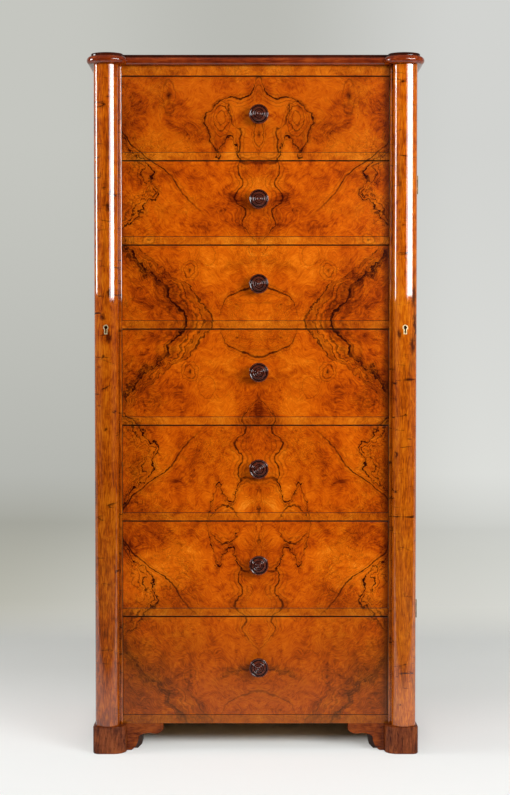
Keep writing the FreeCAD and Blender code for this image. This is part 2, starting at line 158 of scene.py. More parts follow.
def boxMesh(bm, low, high):
    made = bmesh.ops.create_cube(bm, size=1)
    low, high = Vector(low), Vector(high)
    bmesh.ops.scale(bm, vec=high - low, verts=made["verts"])
    bmesh.ops.translate(bm, vec=(low + high) / 2, verts=made["verts"])
    return made["verts"]


def edgesOn(bm, axis, level, leaveOut=()):
    # the edges in one plane across an axis: 0 for x, 1 for y and 2 for z
    found = [e for e in bm.edges if all(abs(v.co[axis] - level) < near for v in e.verts)]
    return [e for e in found if e not in leaveOut]


def ease(bm, edges, offset, segments=2, clamped=True):
    bmesh.ops.bevel(
        bm, geom=edges, offset=offset, segments=segments, profile=0.5,
        affect="EDGES", material=-1, clamp_overlap=clamped,
    )


def mirrorOver(bm):
    # turns a right-hand piece into the left-hand one
    bmesh.ops.scale(bm, vec=(-1, 1, 1), verts=bm.verts[:])
    bmesh.ops.recalc_face_normals(bm, faces=bm.faces[:])


def addObject(name, data):
    added = bpy.data.objects.new(name, data)
    scene.collection.objects.link(added)
    return added


def addMesh(bm, name):
    mesh = bpy.data.meshes.new(name)
    bm.to_mesh(mesh)
    bm.free()
    mesh.shade_smooth()
    return addObject(name, mesh)


def finishPiece(bm, name, body, materials, nodes=(), sharp=35, weighted=True):
    piece = addMesh(bm, name)
    for material in materials:
        piece.data.materials.append(material)
    piece.data.set_sharp_from_angle(angle=math.radians(sharp))
    if weighted:
        piece.modifiers.new("flatFaces", "WEIGHTED_NORMAL").keep_sharp = True
    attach(piece, body)
    if nodes:
        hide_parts(*nodes)
    return piece


def carve(bm, cutters):
    # cuts each cutter's shape out of the piece and returns the carved piece
    helpers = [addMesh(shape, "helper") for shape in [bm] + cutters]
    blank = helpers[0]
    for tool in helpers[1:]:
        cut = blank.modifiers.new("cut", "BOOLEAN")
        cut.operation = "DIFFERENCE"
        cut.solver = "EXACT"
        cut.object = tool
    carved = bpy.data.meshes.new_from_object(
        blank.evaluated_get(bpy.context.evaluated_depsgraph_get())
    )
    result = bmesh.new()
    result.from_mesh(carved)
    bmesh.ops.dissolve_limit(
        result, angle_limit=math.radians(0.5), verts=result.verts[:], edges=result.edges[:]
    )
    for helper in helpers:
        bpy.data.objects.remove(helper)
    return result


# helpers for materials


def toLinear(hexColour):
    # an sRGB hex value as the linear colour that the shaders work in
    values = [int(hexColour[i:i + 2], 16) / 255 for i in (1, 3, 5)]
    linear = [v / 12.92 if v <= 0.04045 else ((v + 0.055) / 1.055) ** 2.4 for v in values]
    return (*linear, 1.0)


def setInputs(node, inputs):
    # by number or name: a node or socket is linked, a hex value made linear, anything else set
    for name, value in inputs.items() if isinstance(inputs, dict) else enumerate(inputs):
        if isinstance(value, bpy.types.Node):
            value = value.outputs[0]
        if isinstance(value, bpy.types.NodeSocket):
            node.id_data.links.new(value, node.inputs[name])
        else:
            node.inputs[name].default_value = toLinear(value) if isinstance(value, str) else value


def addNode(tree, kind, inputs=(), operation=None, stops=(), points=(), **settings):
    # a node with its settings, a ramp's stops or a curve's points, and its inputs
    node = tree.nodes.new("ShaderNode" + kind)
    if operation:
        node.operation = operation
    for name, value in settings.items():
        setattr(node, name, value)
    if stops:
        elements = node.color_ramp.elements
        elements.remove(elements[1])
        elements[0].position = stops[0][0]
        spots = [elements[0]] + [elements.new(place) for place, tone in stops[1:]]
        for spot, (place, tone) in zip(spots, stops):
            spot.color = toLinear(tone) if isinstance(tone, str) else (tone, tone, tone, 1)
    if points:
        curve = node.mapping.curves[0]
        curve.points[0].location = points[0]
        curve.points[1].location = points[-1]
        for place in points[1:-1]:
            curve.points.new(*place)
        node.mapping.update()
    setInputs(node, inputs)
    return node


def newMaterial(name):
    # returns the material, its node adder, its shader and the place on the object
    material = bpy.data.materials.new(name)
    material.use_nodes = True
    add = functools.partial(addNode, material.node_tree)
    shader = material.node_tree.nodes["Principled BSDF"]
    return material, add, shader, add("TexCoord").outputs["Object"]


def per(*sizes):
    # how many features of so many millimetres make a metre, as noise scales count them
    scales = [1 / (size * mm) for size in sizes]
    return scales if len(scales) > 1 else scales[0]


def shifted(add, place, size, amount, detail=2.0):
    # the place pushed about by a noise, by up to so many millimetres either way
    noise = add("TexNoise", {"Vector": place, "Scale": per(size), "Detail": detail, "Roughness": 0.62})
    centred = add("VectorMath", [noise.outputs["Color"], (0.5, 0.5, 0.5)], "SUBTRACT")
    push = 2 * amount * mm
    return add("VectorMath", [centred, (push, push, 0), place], "MULTIPLY_ADD")


def distanceFrom(add, place, centre, radii):
    # distance in radii from a centre in millimetres; a radius of 0 leaves its axis out
    centred = add("VectorMath", [place, [c * mm for c in centre]], "SUBTRACT")
    drawn = add("VectorMath", [centred, [r and per(r) for r in radii]], "MULTIPLY")
    return add("VectorMath", [drawn], "LENGTH").outputs["Value"]


def strongest(add, masks):
    # the darkest of several masks at each point
    return functools.reduce(lambda a, b: add("Math", [a, b], "MAXIMUM"), masks)


def stained(add, ground, stains):
    # lays one stain after another over the ground, each a mask and a colour
    for mask, tone in stains:
        ground = add("Mix", {0: mask, 6: ground, 7: tone}, data_type="RGBA").outputs[2]
    return ground


def polish(add, shader, height, coat=1.0, coatRoughness=0.045, coatIndex=1.7, relief=0.12):
    # French polish: a clear shellac film over filled grain, with a little of the pores left to see
    bump = add("Bump", {"Height": height, "Strength": relief, "Distance": 0.3 * mm})
    setInputs(shader, {
        "Roughness": 0.45, "Specular IOR Level": 0.0, "Coat Weight": coat,
        "Coat Roughness": coatRoughness, "Coat IOR": coatIndex, "Normal": bump, "Coat Normal": bump,
    })


# burr walnut veneer: a leaf is folded about the row of knobs and about every joint between matched leaves;
# its figures are in millimetres: u out from the fold, v up from the lower joint

boldBand = [(0, 135), (15, 142), (41, 163), (69, 174), (86, 202), (112, 223), (142, 245), (168, 258)]
burrFigure = {
    "foldX": 6, "foldZ": 45.5, "leafHeight": 381.5,
    # the topmost drawer has a figure of its own, measured up from crestFoot
    "crestFoot": 1110, "crestFrom": 1121, "crestFold": 1190,
    "reach": 260,                 # the curves' own scale across the leaf
    "train": 160,                 # width of the strip that a train of lines is drawn in
    # how far noises push the lines about, and the size of those noises
    "wander": 6, "wanderSize": 83.33, "cloudWander": 22, "cloudSize": 111.1,
    "jitter": 13, "jitterSize": 17.24, "ringJitter": 7.8, "ringJitterSize": 16.67,
    "weight": 1.65,               # thickens every line
    "grain": (9.091, 2.381, 11.11), "swirl": 24, "shares": (0.40, 0.30, 0.30),
    "spots": (0.36, 0.42, 0.48, 0.54, 0.60, 0.66),
    # each family of lines follows a course, along v if upwards and else along u, given as places and how
    # far across it lies there; a line has an offset, a thickness and a depth, and spread opens the train
    "families": [
        # the bold diagonal band: one heavy line that opens downwards into a train of contour lines
        {"upwards": 1, "twist": 1, "course": boldBand,
         "lines": [(-50, 1.6, 0.85), (-41, 1.1, 0.5), (-33, 1.4, 0.8), (-20, 1.3, 0.75),
                   (-11, 1.1, 0.6), (0, 2, 1), (9, 1.3, 0.6), (22, 1, 0.4)],
         "spread": [(0, 1), (35, 1), (70, 0.85), (95, 0.6), (120, 0.45), (180, 0.4)],
         "fade": [(0, 1), (150, 1), (175, 0)]},
        # the broken dark edge of the same band towards the corner
        {"upwards": 1, "twist": 1.9,
         "course": [(0, 150), (41, 168), (69, 181), (86, 208), (112, 232), (142, 252), (168, 259)],
         "lines": [(-14, 1.6, 0.5), (-5, 2.8, 1), (4, 3.2, 0.9), (14, 1.6, 0.6)],
         "spread": [(0, 0.5), (60, 0.7), (100, 1), (168, 0.8)],
         "fade": [(40, 0), (75, 0.9), (140, 1), (175, 0)]},
        # a jagged line in from the edge and out again, with islands beside it
        {"upwards": 1, "twist": 1.5,
         "course": [(161, 258), (180, 243), (196, 224), (217, 209), (243, 189), (260, 198), (284, 200),
                    (305, 219), (322, 237), (344, 256)],
         "lines": [(-6, 1, 0.5), (0, 2.2, 1), (13, 1.6, 0.9), (26, 1.3, 0.7), (38, 1.2, 0.6)],
         "spread": [(160, 0.4), (185, 0.9), (215, 1.1), (250, 0.5), (275, 1.1), (310, 0.5), (350, 0.8)],
         "fade": [(150, 0), (172, 1), (350, 1), (375, 0)]},
        # a long smooth line from the middle to the edge
        {"upwards": 1, "twist": 0.35,
         "course": [(183, 90), (208, 112), (241, 144), (277, 168), (305, 204), (344, 249), (355, 258)],
         "lines": [(-8, 1, 0.4), (0, 1.6, 1), (7, 1, 0.35), (18, 0.9, 0.25)],
         "spread": [(180, 1.2), (250, 0.8), (350, 1)],
         "fade": [(188, 0), (235, 0.85), (381, 1)]},
        # the lines beside the row of knobs, meeting in a V
        {"upwards": 1, "twist": 0.55,
         "course": [(142, 0), (163, 17), (185, 30), (204, 24), (223, 41), (236, 45), (256, 30), (280, 39),
                    (299, 34), (318, 30)],
         "lines": [(-15, 0.8, 0.4), (-8, 0.8, 0.5), (0, 1.15, 0.9), (7, 0.8, 0.5), (15, 0.7, 0.3)],
         "spread": [(140, 0.3), (185, 0.8), (235, 1.3), (300, 0.8)],
         "fade": [(136, 0), (146, 1), (290, 1), (320, 0)]},
        # an arch over the lower joint
        {"upwards": 0, "twist": 0.45, "course": [(0, 66), (30, 59), (45, 52), (57, 47), (69, 20), (74, 0)],
         "lines": [(-26, 0.9, 0.3), (-9, 0.9, 0.35), (0, 1.4, 0.9), (6, 0.9, 0.4)],
         "spread": [(0, 1.2), (45, 0.9), (75, 0.7)], "fade": [(0, 1), (71, 1), (76, 0)]},
    ],
    "mask": [
        # its outline: over the knobs, down into a notch and up to a spike
        {"upwards": 0, "twist": 0.9,
         "course": [(0, 297), (26, 295), (39, 307), (52, 340), (64, 324), (77, 301), (84, 329), (92, 355),
                    (97, 388)],
         "lines": [(-9, 1.1, 0.35), (0, 1.9, 1), (8, 1.3, 0.65), (17, 1.1, 0.4)],
         "spread": [(0, 1), (40, 1), (60, 0.7), (80, 1), (100, 1)],
         "fade": [(0, 0.5), (35, 1), (96, 1), (104, 0)]},
        # the eyes inside it
        {"upwards": 0, "twist": 1,
         "course": [(33, 400), (41, 362), (56, 350), (71, 348), (84, 357), (92, 398)],
         "lines": [(0, 1.3, 0.9), (9, 0.9, 0.4), (18, 0.8, 0.25)],
         "spread": [(33, 1), (92, 1)], "fade": [(33, 0), (38, 1), (88, 1), (93, 0)]},
    ],
    "crest": [
        # a small pointed hood over the top knob, stepping down to the brow of the mask
        {"upwards": 0, "twist": 0.6,
         "course": [(0, 153), (5, 147), (10, 131), (20, 119), (35, 114), (60, 115), (72, 108)],
         "lines": [(-22, 0.9, 0.4), (-12, 1, 0.6), (0, 1.7, 1), (7, 1, 0.4)],
         "spread": [(0, 1.2), (20, 0.8), (66, 0.6)], "fade": [(0, 1), (66, 1), (72, 0)]},
        # its cheeks, bowed out and in again down to the spikes
        {"upwards": 1, "twist": 0.8,
         "course": [(0, 76), (24, 80), (28, 86), (59, 95), (72, 102), (86, 93), (102, 78), (113, 66)],
         "lines": [(-10, 1, 0.5), (0, 1.8, 1), (5, 1, 0.5)],
         "spread": [(0, 1), (113, 0.8)], "fade": [(0, 1), (110, 1), (116, 0)]},
        # the bridge between eye and knob
        {"upwards": 1, "twist": 0.6, "course": [(0, 35), (31, 35), (58, 36), (63, 45), (74, 51), (108, 58)],
         "lines": [(-8, 1, 0.4), (0, 1.5, 0.9), (7, 0.9, 0.4)],
         "spread": [(0, 1), (108, 0.7)], "fade": [(0, 1), (100, 0.9), (108, 0)]},
        # two pointed arches under each eye
        {"upwards": 0, "twist": 0.9,
         "course": [(35, 8), (42, 24), (47, 42), (57, 43), (62, 32), (66, 28), (78, 8)],
         "lines": [(-7, 1, 0.5), (0, 1.6, 1), (6, 1, 0.5)],
         "spread": [(35, 1), (78, 1)], "fade": [(33, 0), (37, 1), (76, 1), (80, 0)]},
    ],
    "smoke": [
        # broad brown shadows along the bold band and beside the lowest knob
        {"upwards": 1, "twist": 1.6, "course": boldBand, "lines": [(2, 7.5, 1)],
         "spread": [(0, 0.8), (90, 1.1), (180, 1)], "fade": [(0, 0.5), (30, 0.9), (165, 1), (185, 0)]},
        {"upwards": 0, "twist": 1.4, "course": [(0, 108), (22, 110), (50, 104), (84, 84)],
         "lines": [(0, 4.5, 1)], "spread": [(0, 0.7), (40, 1.1), (90, 1)],
         "fade": [(0, 0.9), (60, 0.9), (95, 0)]},
    ],
    # a ring has a centre, two radii and lines; a line has a distance and half a width in radii, and a depth
    "maskRings": [
        # the dark spindle in the middle of the mask, and knots like small eyes
        ((0, 352), (4, 26), [(0, 0.7, 0.9), (1.6, 0.25, 0.6), (2.6, 0.2, 0.4)]),
        ((128, 94), (9, 9), [(0, 0.60, 1), (1.2, 0.22, 0.8), (1.9, 0.18, 0.6)]),
        ((40, 31), (5, 5), [(0, 0.7, 0.95), (1.5, 0.2, 0.5)]),
        ((96, 122), (16, 20), [(1, 0.07, 0.5), (1.4, 0.05, 0.35)]),
        ((70, 205), (7, 6), [(0, 0.5, 0.7), (1.1, 0.2, 0.5)]),
        ((205, 152), (10, 9), [(0, 0.4, 0.9), (1, 0.2, 0.6), (1.9, 0.15, 0.4)]),
    ],
    "crestRings": [
        ((70, 76), (9, 16), [(0.8, 0.14, 0.7), (1.45, 0.14, 0.95), (2.1, 0.12, 0.8)]),
        ((0, 47), (3.5, 9), [(0, 1.2, 1), (2.4, 0.4, 0.8), (3.4, 0.3, 0.6)]),
        ((168, 115), (4, 13), [(0, 1.5, 1), (2.6, 0.4, 0.6)]),
    ],
    # hair lines and curls: a noise, how many levels it is cut into, and how dark each level's line is
    "hairs": ({"Scale": per(66.67), "Detail": 4, "Roughness": 0.5, "Distortion": 1.2}, 26,
              [(0, 1), (0.07, 0.55), (0.20, 0.12), (0.5, 0)]),
    "curls": ({"Scale": per(27.78), "Detail": 3, "Roughness": 0.55, "Distortion": 2.4}, 25,
              [(0, 1), (0.18, 0.6), (0.42, 0.15), (0.6, 0)]),
}
burrShares = {
    # between which two values a share changes, and what it is at the one and at the other
    "hairs": (0.52, 0.84, 0.10, 0.80), "curls": (0.46, 0.60, 0.05, 0.60),
    "breaks": (0.34, 0.50, 0.72, 1.0), "streaks": (0.35, 0.62, 1.0, 0.45), "smoke": (0.86, 1.30, 0.0, 0.80),
    # the same by the height in metres
    "lowInk": (0.20, 0.29, 0.66, 1.0), "lowSmoke": (0.16, 0.30, 0.22, 0.0),
    # the last two on the next line darken the topmost and lowest drawers: painted shade
    "lowBands": (0.25, 0.27, 0.95, 0.30), "paintedTopShade": (1.11, 1.14, 0.0), "paintedLowShade": (0.12, 0.34),
    # the next share darkens the fronts beside the locking stile: painted shadow
    "paintedStileShadow": (0.232, 0.247, 0.0),     # and by the distance to the right of the middle
}


def burrLeaf(add, place):
    # folds the object's place into one leaf, a little different from leaf to leaf
    x, _, z = add("SeparateXYZ", [place]).outputs
    fromFold = add("Math", [x, burrFigure["foldX"] * mm], "SUBTRACT")
    u = add("Math", [fromFold], "ABSOLUTE")
    side = add("Math", [fromFold], "SIGN")
    level = add("Math", [z, burrFigure["foldZ"] * mm], "SUBTRACT")
    v = add("Math", [level, burrFigure["leafHeight"] * mm], "PINGPONG")
    count = add("Math", [level, per(burrFigure["leafHeight"])], "MULTIPLY")
    number = add("Math", [count], "FLOOR")
    # every leaf and each of its halves reads its noises at a depth of its own
    layer = add("Math", [side, 0.35, number], "MULTIPLY_ADD")
    depth = add("Math", [layer, 2.5 * mm], "MULTIPLY")
    crestV = add("Math", [z, burrFigure["crestFoot"] * mm], "SUBTRACT")
    under = add("Math", [z, burrFigure["crestFrom"] * mm], "LESS_THAN")
    return {
        "u": u, "x": x, "z": z,
        "leaf": add("CombineXYZ", [u, v, depth]),
        "crest": add("CombineXYZ", [u, crestV, depth]),
        # folded about the row of knobs only, so that it differs from drawer to drawer
        "halves": add("CombineXYZ", [u, z, depth]),
        "under": under,
        "over": add("Math", [1.0, under], "SUBTRACT"),
        "belowFold": add("Math", [z, burrFigure["crestFold"] * mm], "LESS_THAN"),
    }


def lineProfile(lines):
    # ramp stops across a train of lines: each a dark core with a faint brown halo either side
    lines = [(offset, thick * burrFigure["weight"], depth) for offset, thick, depth in lines]

    def darkness(spot):
        reached = [0.0]
        for offset, core, depth in lines:
            away = abs(spot - offset) / core
            share = min(1.0, 1.75 - 1.5 * away) if away < 1 else max(0.0, 0.25 * (3 - away) / 2)
            reached.append(depth * share)
        return max(reached)

    ordered = sorted({o + share * core for o, core, _ in lines for share in (-3, -1, -0.5, 0.5, 1, 3)})
    while len(ordered) > 31:        # a ramp holds 32 stops, so the closest pair gives one up
        gaps = [(b - a, i) for i, (a, b) in enumerate(zip(ordered, ordered[1:]))]
        loser = min(gaps)[1]
        ordered.pop(loser + 1 if darkness(ordered[loser]) > darkness(ordered[loser + 1]) else loser)
    return [(0.5 + spot / burrFigure["train"], darkness(spot)) for spot in ordered]


def veinFamily(add, leaf, upwards, twist, course, lines, spread, fade):
    # dark lines that follow one course across the leaf
    twisted = shifted(add, leaf, burrFigure["jitterSize"], burrFigure["jitter"] * twist, 3)
    u, v, _ = add("SeparateXYZ", [twisted]).outputs
    length, width, lengthwise, crosswise = burrFigure["reach"], burrFigure["leafHeight"], u, v
    if upwards:
        length, width, lengthwise, crosswise = width, length, v, u
    along = add("Math", [lengthwise, per(length)], "MULTIPLY")
    middle = add("FloatCurve", {"Value": along}, points=[(a / length, min(b / width, 1)) for a, b in course])
    off = add("Math", [middle, -width * mm, crosswise], "MULTIPLY_ADD")
    opening = add("ValToRGB", [along], stops=[(a / length, value / 2) for a, value in spread])
    opened = add("Math", [off, opening], "DIVIDE")
    scaled = add("Math", [opened, per(2 * burrFigure["train"]), 0.5], "MULTIPLY_ADD")
    drawn = add("ValToRGB", [scaled], stops=lineProfile(lines))
    fading = add("ValToRGB", [along], stops=[(a / length, value) for a, value in fade])
    return add("Math", [drawn, fading], "MULTIPLY")


def veinRing(add, leaf, centre, radii, lines):
    # dark rings about a centre, drawn out by their radii; the ramp reaches out to four radii
    twisted = shifted(add, leaf, burrFigure["ringJitterSize"], burrFigure["ringJitter"], 3)
    away = distanceFrom(add, twisted, (*centre, 0), (*radii, 0))
    scaled = add("Math", [away, 0.25], "MULTIPLY")
    stops = []
    for radius, width, depth in lines:
        stops.append((max(0, (radius - width) / 4), 0.0 if radius else depth))
        stops += [(radius / 4 + 1e-4, depth), ((radius + width) / 4, 0.0)]
    return add("ValToRGB", [scaled], stops=stops)


def levelLines(add, place, noise, levels, stops):
    # thin lines where a noise crosses each of its levels
    field = add("TexNoise", {"Vector": place, **noise})
    climbed = add("Math", [field, levels], "MULTIPLY")
    return add("ValToRGB", [add("Math", [climbed, 1.0], "PINGPONG")], stops=stops)


def veneerGround(add, place, cloudPlace, grain, spots, tones, shares, turn=0, swirl=0):
    # walnut between its veins: broad clouds, mottle and short pore lines along the grain;
    # real pores, a fifth of a millimetre wide, are too fine to show, so these are drawn ten times as coarse
    clouds = add("TexNoise", {"Vector": cloudPlace, "Scale": per(111.1), "Detail": 4, "Distortion": 1.3})
    mottle = add("TexNoise", {
        "Vector": place, "Scale": per(31.25), "Detail": 5, "Roughness": 0.60, "Distortion": 1.8,
    })
    flow = shifted(add, place, 38.46, swirl, 1.0) if swirl else place
    turned = add("VectorRotate", {"Vector": flow, "Angle": math.radians(turn)}, rotation_type="Z_AXIS")
    stretched = add("VectorMath", [turned, per(*grain)], "MULTIPLY")
    pores = add("TexNoise", {
        "Vector": stretched, "Scale": 1.0, "Detail": 4, "Roughness": 0.62, "Distortion": 0.6,
    })
    total = add("Math", [clouds, shares[0]], "MULTIPLY")
    for noise, share in ((mottle, shares[1]), (pores, shares[2])):
        total = add("Math", [noise, share, total], "MULTIPLY_ADD")
    return add("ValToRGB", [total], stops=list(zip(spots, tones))), pores


def burrWalnutPolished(name, tones, turn, paintedStileShadow, paintedTopShade, paintedLowShade):
    # burr walnut veneer, sliced from a burr root, book-matched, stained gold and French polished:
    # a deep orange-gold ground, red-brown mottle, dark contour veins and a wet-looking gloss
    material, add, shader, place = newMaterial(name)
    fold = burrLeaf(add, place)
    leaf = shifted(add, fold["leaf"], burrFigure["wanderSize"], burrFigure["wander"], 1.5)
    crest = shifted(add, fold["crest"], burrFigure["wanderSize"], burrFigure["wander"] / 2, 1.5)
    halves = shifted(add, fold["halves"], burrFigure["cloudSize"], burrFigure["cloudWander"])
    grain, spots, shares = burrFigure["grain"], burrFigure["spots"], burrFigure["shares"]
    ground, pores = veneerGround(add, leaf, halves, grain, spots, tones, shares, turn, burrFigure["swirl"])
    drawn = []
    for where, spot, families, rings in (
        ("belowFold", leaf, "families", None), ("under", leaf, "mask", "maskRings"),
        ("over", crest, "crest", "crestRings"),
    ):
        masks = [veinFamily(add, spot, **family) for family in burrFigure[families]]
        masks += [veinRing(add, spot, *ring) for ring in burrFigure.get(rings, ())]
        drawn.append((strongest(add, masks), fold[where]))
    # fine stray veins, mostly in the outer part of the leaf, and tight curls about the buds, in clusters
    patches = add("TexNoise", {"Vector": halves, "Scale": per(100), "Detail": 2})
    outer = add("Math", [fold["u"], 1.1, patches], "MULTIPLY_ADD")
    for kind, by in (("hairs", outer), ("curls", patches)):
        drawn.append((levelLines(add, leaf, *burrFigure[kind]), add("MapRange", [by, *burrShares[kind]])))
    ink = strongest(add, [add("Math", pair, "MULTIPLY") for pair in drawn])
    # the veins thin out and darken again along their way, and are faint in the lowest drawer
    breaks = add("TexNoise", {"Vector": fold["leaf"], "Scale": per(16.67), "Detail": 2})
    for by, kind in ((breaks, "breaks"), (fold["z"], "lowInk")):
        ink = add("Math", [ink, add("MapRange", [by, *burrShares[kind]])], "MULTIPLY")
    # smoky patches that grow towards the edges of the leaf and over the lowest drawer
    smoke = add("TexNoise", {
        "Vector": halves, "Scale": per(90.91), "Detail": 5, "Roughness": 0.62, "Distortion": 0.8,
    })
    smoke = add("Math", [fold["u"], 2.2, smoke], "MULTIPLY_ADD")
    lowSmoke = add("MapRange", [fold["z"], *burrShares["lowSmoke"]])
    smoke = add("MapRange", [add("Math", [smoke, lowSmoke], "ADD"), *burrShares["smoke"]])
    bands = strongest(add, [veinFamily(add, leaf, **family) for family in burrFigure["smoke"]])
    lowBands = add("MapRange", [fold["z"], *burrShares["lowBands"]])
    smoke = strongest(add, [smoke, add("Math", [bands, lowBands], "MULTIPLY")])
    streaked = add("MapRange", [pores, *burrShares["streaks"]])
    colour = stained(add, ground, [
        (add("Math", [smoke, streaked], "MULTIPLY"), "#4e1a02"),
        (ink, "#2a0802"),
        # painted shadow: the strip beside the locking stile is darkened where the stile's nose casts its
        # shadow on the fronts
        (add("MapRange", [fold["x"], *burrShares["paintedStileShadow"], paintedStileShadow], interpolation_type="SMOOTHSTEP"), "#3a1002"),
        # painted shade: the topmost drawer is darkened a little and redder, the lowest one darker and browner
        # towards the floor
        (add("MapRange", [fold["z"], *burrShares["paintedTopShade"], paintedTopShade]), "#4e1a02"),
        (add("MapRange", [fold["z"], *burrShares["paintedLowShade"], paintedLowShade, 0.0]), "#543614"),
    ])
    setInputs(shader, {"Base Color": colour})
    polish(add, shader, pores, coat=0.4, coatRoughness=0.16, coatIndex=1.5)
    return material


walnutMarks = {
    "wander": 6, "wanderSize": 166.7, "shares": (0.30, 0.22, 0.48), "blotchSize": 47.62,
    "streakStretch": 0.22,           # the streaks are the grain drawn out
    "knotRagged": 7, "knotRaggedSize": 11.11,
    # between which two values a share changes, and what it is at the one and at the other
    "streaks": (0.56, 0.72, 0.0, 0.6), "flecks": (0.60, 0.68, 0.0, 0.9), "blotches": (0.65, 0.73, 0.0, 0.8),
    # the lower share and the one after it darken the pilasters towards the floor: painted shade
    "knots": (0.5, 1.5, 0.85, 0.0), "lower": (0.25, 0.95, 1.0, 0.0), "poreBreakup": (0.40, 0.58, 0.62, 0.30),
}


def walnutAlong(name, grain, spots, tones, flecks=None, lowerShadeTone=None, knots=(), **coat):
    # plain walnut with its grain along one axis and dark streaks, French polished
    material, add, shader, place = newMaterial(name)
    marks = walnutMarks
    wandering = shifted(add, place, marks["wanderSize"], marks["wander"])
    ground, pores = veneerGround(add, wandering, place, grain, spots, tones, marks["shares"])
    longer = per(*(size / marks["streakStretch"] for size in grain))
    longer = add("VectorMath", [wandering, longer], "MULTIPLY")
    streaks = add("TexNoise", {"Vector": longer, "Scale": 1.0, "Detail": 4, "Roughness": 0.6})
    stains = [(add("MapRange", [streaks, *marks["streaks"]]), "#4a1706")]
    if lowerShadeTone:
        # painted shade: darker towards the floor, broken up along the pores
        height = add("SeparateXYZ", [place]).outputs[2]
        lower = add("MapRange", [height, *marks["lower"]])
        poreBreakup = add("MapRange", [pores, *marks["poreBreakup"]])
        stains.append((add("Math", [lower, poreBreakup], "MULTIPLY"), lowerShadeTone))
    if flecks:
        # dark flecks across the grain, and small blotches where a pin knot was sliced through
        across = add("VectorMath", [place, per(*flecks)], "MULTIPLY")
        crossing = add("TexNoise", {
            "Vector": across, "Scale": 1.0, "Detail": 4, "Roughness": 0.65, "Distortion": 0.8,
        })
        blotches = add("TexNoise", {
            "Vector": wandering, "Scale": per(marks["blotchSize"]),
            "Detail": 6, "Roughness": 0.72, "Distortion": 0.5,
        })
        stains.append((add("MapRange", [crossing, *marks["flecks"]]), "#2e0d03"))
        stains.append((add("MapRange", [blotches, *marks["blotches"]]), "#371104"))
    if knots:
        # dark knots: x, z, half width and half height, ragged at their rims
        rim = shifted(add, place, marks["knotRaggedSize"], marks["knotRagged"], 3)
        away = [distanceFrom(add, rim, (x, 0, z), (across, 0, up)) for x, z, across, up in knots]
        dark = [add("MapRange", [distance, *marks["knots"]]) for distance in away]
        stains.append((strongest(add, dark), "#380d03"))
    setInputs(shader, {"Base Color": stained(add, ground, stains)})
    polish(add, shader, pores, **coat)
    return material


def turnedRosewood(name, dark, middle, light, coat):
    # rosewood turned on a lathe and waxed to a gloss: purple-brown, darker streaks along the knob's axis
    material, add, shader, place = newMaterial(name)
    stretched = add("VectorMath", [place, per(5.882, 25, 5.882)], "MULTIPLY")
    streaks = add("TexNoise", {"Vector": stretched, "Scale": 1.0, "Detail": 3, "Roughness": 0.6})
    colour = add("ValToRGB", [streaks], stops=[(0.36, dark), (0.50, middle), (0.64, light)])
    setInputs(shader, {"Base Color": colour})
    polish(add, shader, streaks, coat, coatRoughness=0.06, coatIndex=1.6, relief=0.0)
    return material


def bareWood(name, grain, tones, roughness):
    # planed and unpolished wood inside the chest: open pores and flat, dry colour
    material, add, shader, place = newMaterial(name)
    wandering = shifted(add, place, size=250, amount=5)
    stretched = add("VectorMath", [wandering, per(*grain)], "MULTIPLY")
    rings = add("TexNoise", {"Vector": stretched, "Scale": 0.25, "Detail": 5, "Roughness": 0.65})
    pores = add("TexNoise", {"Vector": stretched, "Scale": 1.6, "Detail": 2})
    both = add("Math", [pores, 0.35, rings], "MULTIPLY_ADD")
    setInputs(shader, {
        "Base Color": add("ValToRGB", [both], stops=list(zip((0.40, 0.62, 0.85), tones))),
        "Roughness": roughness,
        "Normal": add("Bump", {"Height": pores, "Strength": 0.35, "Distance": 0.3 * mm}),
    })
    return material


def wornMetal(name, light, dark, roughness):
    # cast, rolled or wrought metal, handled for long: bright where rubbed, dull and darker in patches
    material, add, shader, place = newMaterial(name)
    patches = add("TexNoise", {"Vector": place, "Scale": per(5.263), "Detail": 4, "Roughness": 0.6})
    setInputs(shader, {
        "Base Color": add("ValToRGB", [patches], stops=[(0.35, dark), (0.62, light)]),
        "Roughness": add("MapRange", [patches, 0.3, 0.7, roughness + 0.14, roughness]),
        "Metallic": 1.0,
        "Normal": add("Bump", {"Height": patches, "Strength": 0.15, "Distance": 0.05 * mm}),
    })
    return material


burr = burrWalnutPolished(
    "burrWalnutPolished", ("#641d02", "#973704", "#b94c04", "#cb5d07", "#d96c0c", "#e6831e"),
    turn=-38, paintedStileShadow=0.66, paintedTopShade=0.18, paintedLowShade=0.34,
)
# the rails are cross-banded, with the grain upright and a little yellower
crossBanding = burrWalnutPolished(
    "burrWalnutCrossBanded", ("#742802", "#9e4206", "#bb5708", "#cb670d", "#d87716", "#e58d29"),
    turn=78, paintedStileShadow=0.4, paintedTopShade=0.0, paintedLowShade=0.45,
)
# grains, flecks and knots in millimetres; spots are where the tones stand in the ramp
upright = {
    "grain": (2.326, 2.326, 19.23), "spots": (0.38, 0.46, 0.52, 0.58), "flecks": (50, 50, 11.76),
    "coatRoughness": 0.025, "relief": 0.05,
}
sideways = {"grain": (45.45, 4.167, 4.167), "spots": (0.36, 0.45, 0.52, 0.60)}
pilasterWalnut = walnutAlong(
    "pilasterWalnutPolished", tones=("#6c2404", "#a04306", "#b65507", "#c8690e"), lowerShadeTone="#572805",
    knots=[(-274, 1019, 3, 9), (-270, 1046, 2, 5), (-271, 861, 4, 8), (-284, 815, 5, 5),
           (-273, 778, 4, 10), (-282, 742, 2, 4), (-279, 607, 3, 3)], **upright,
)
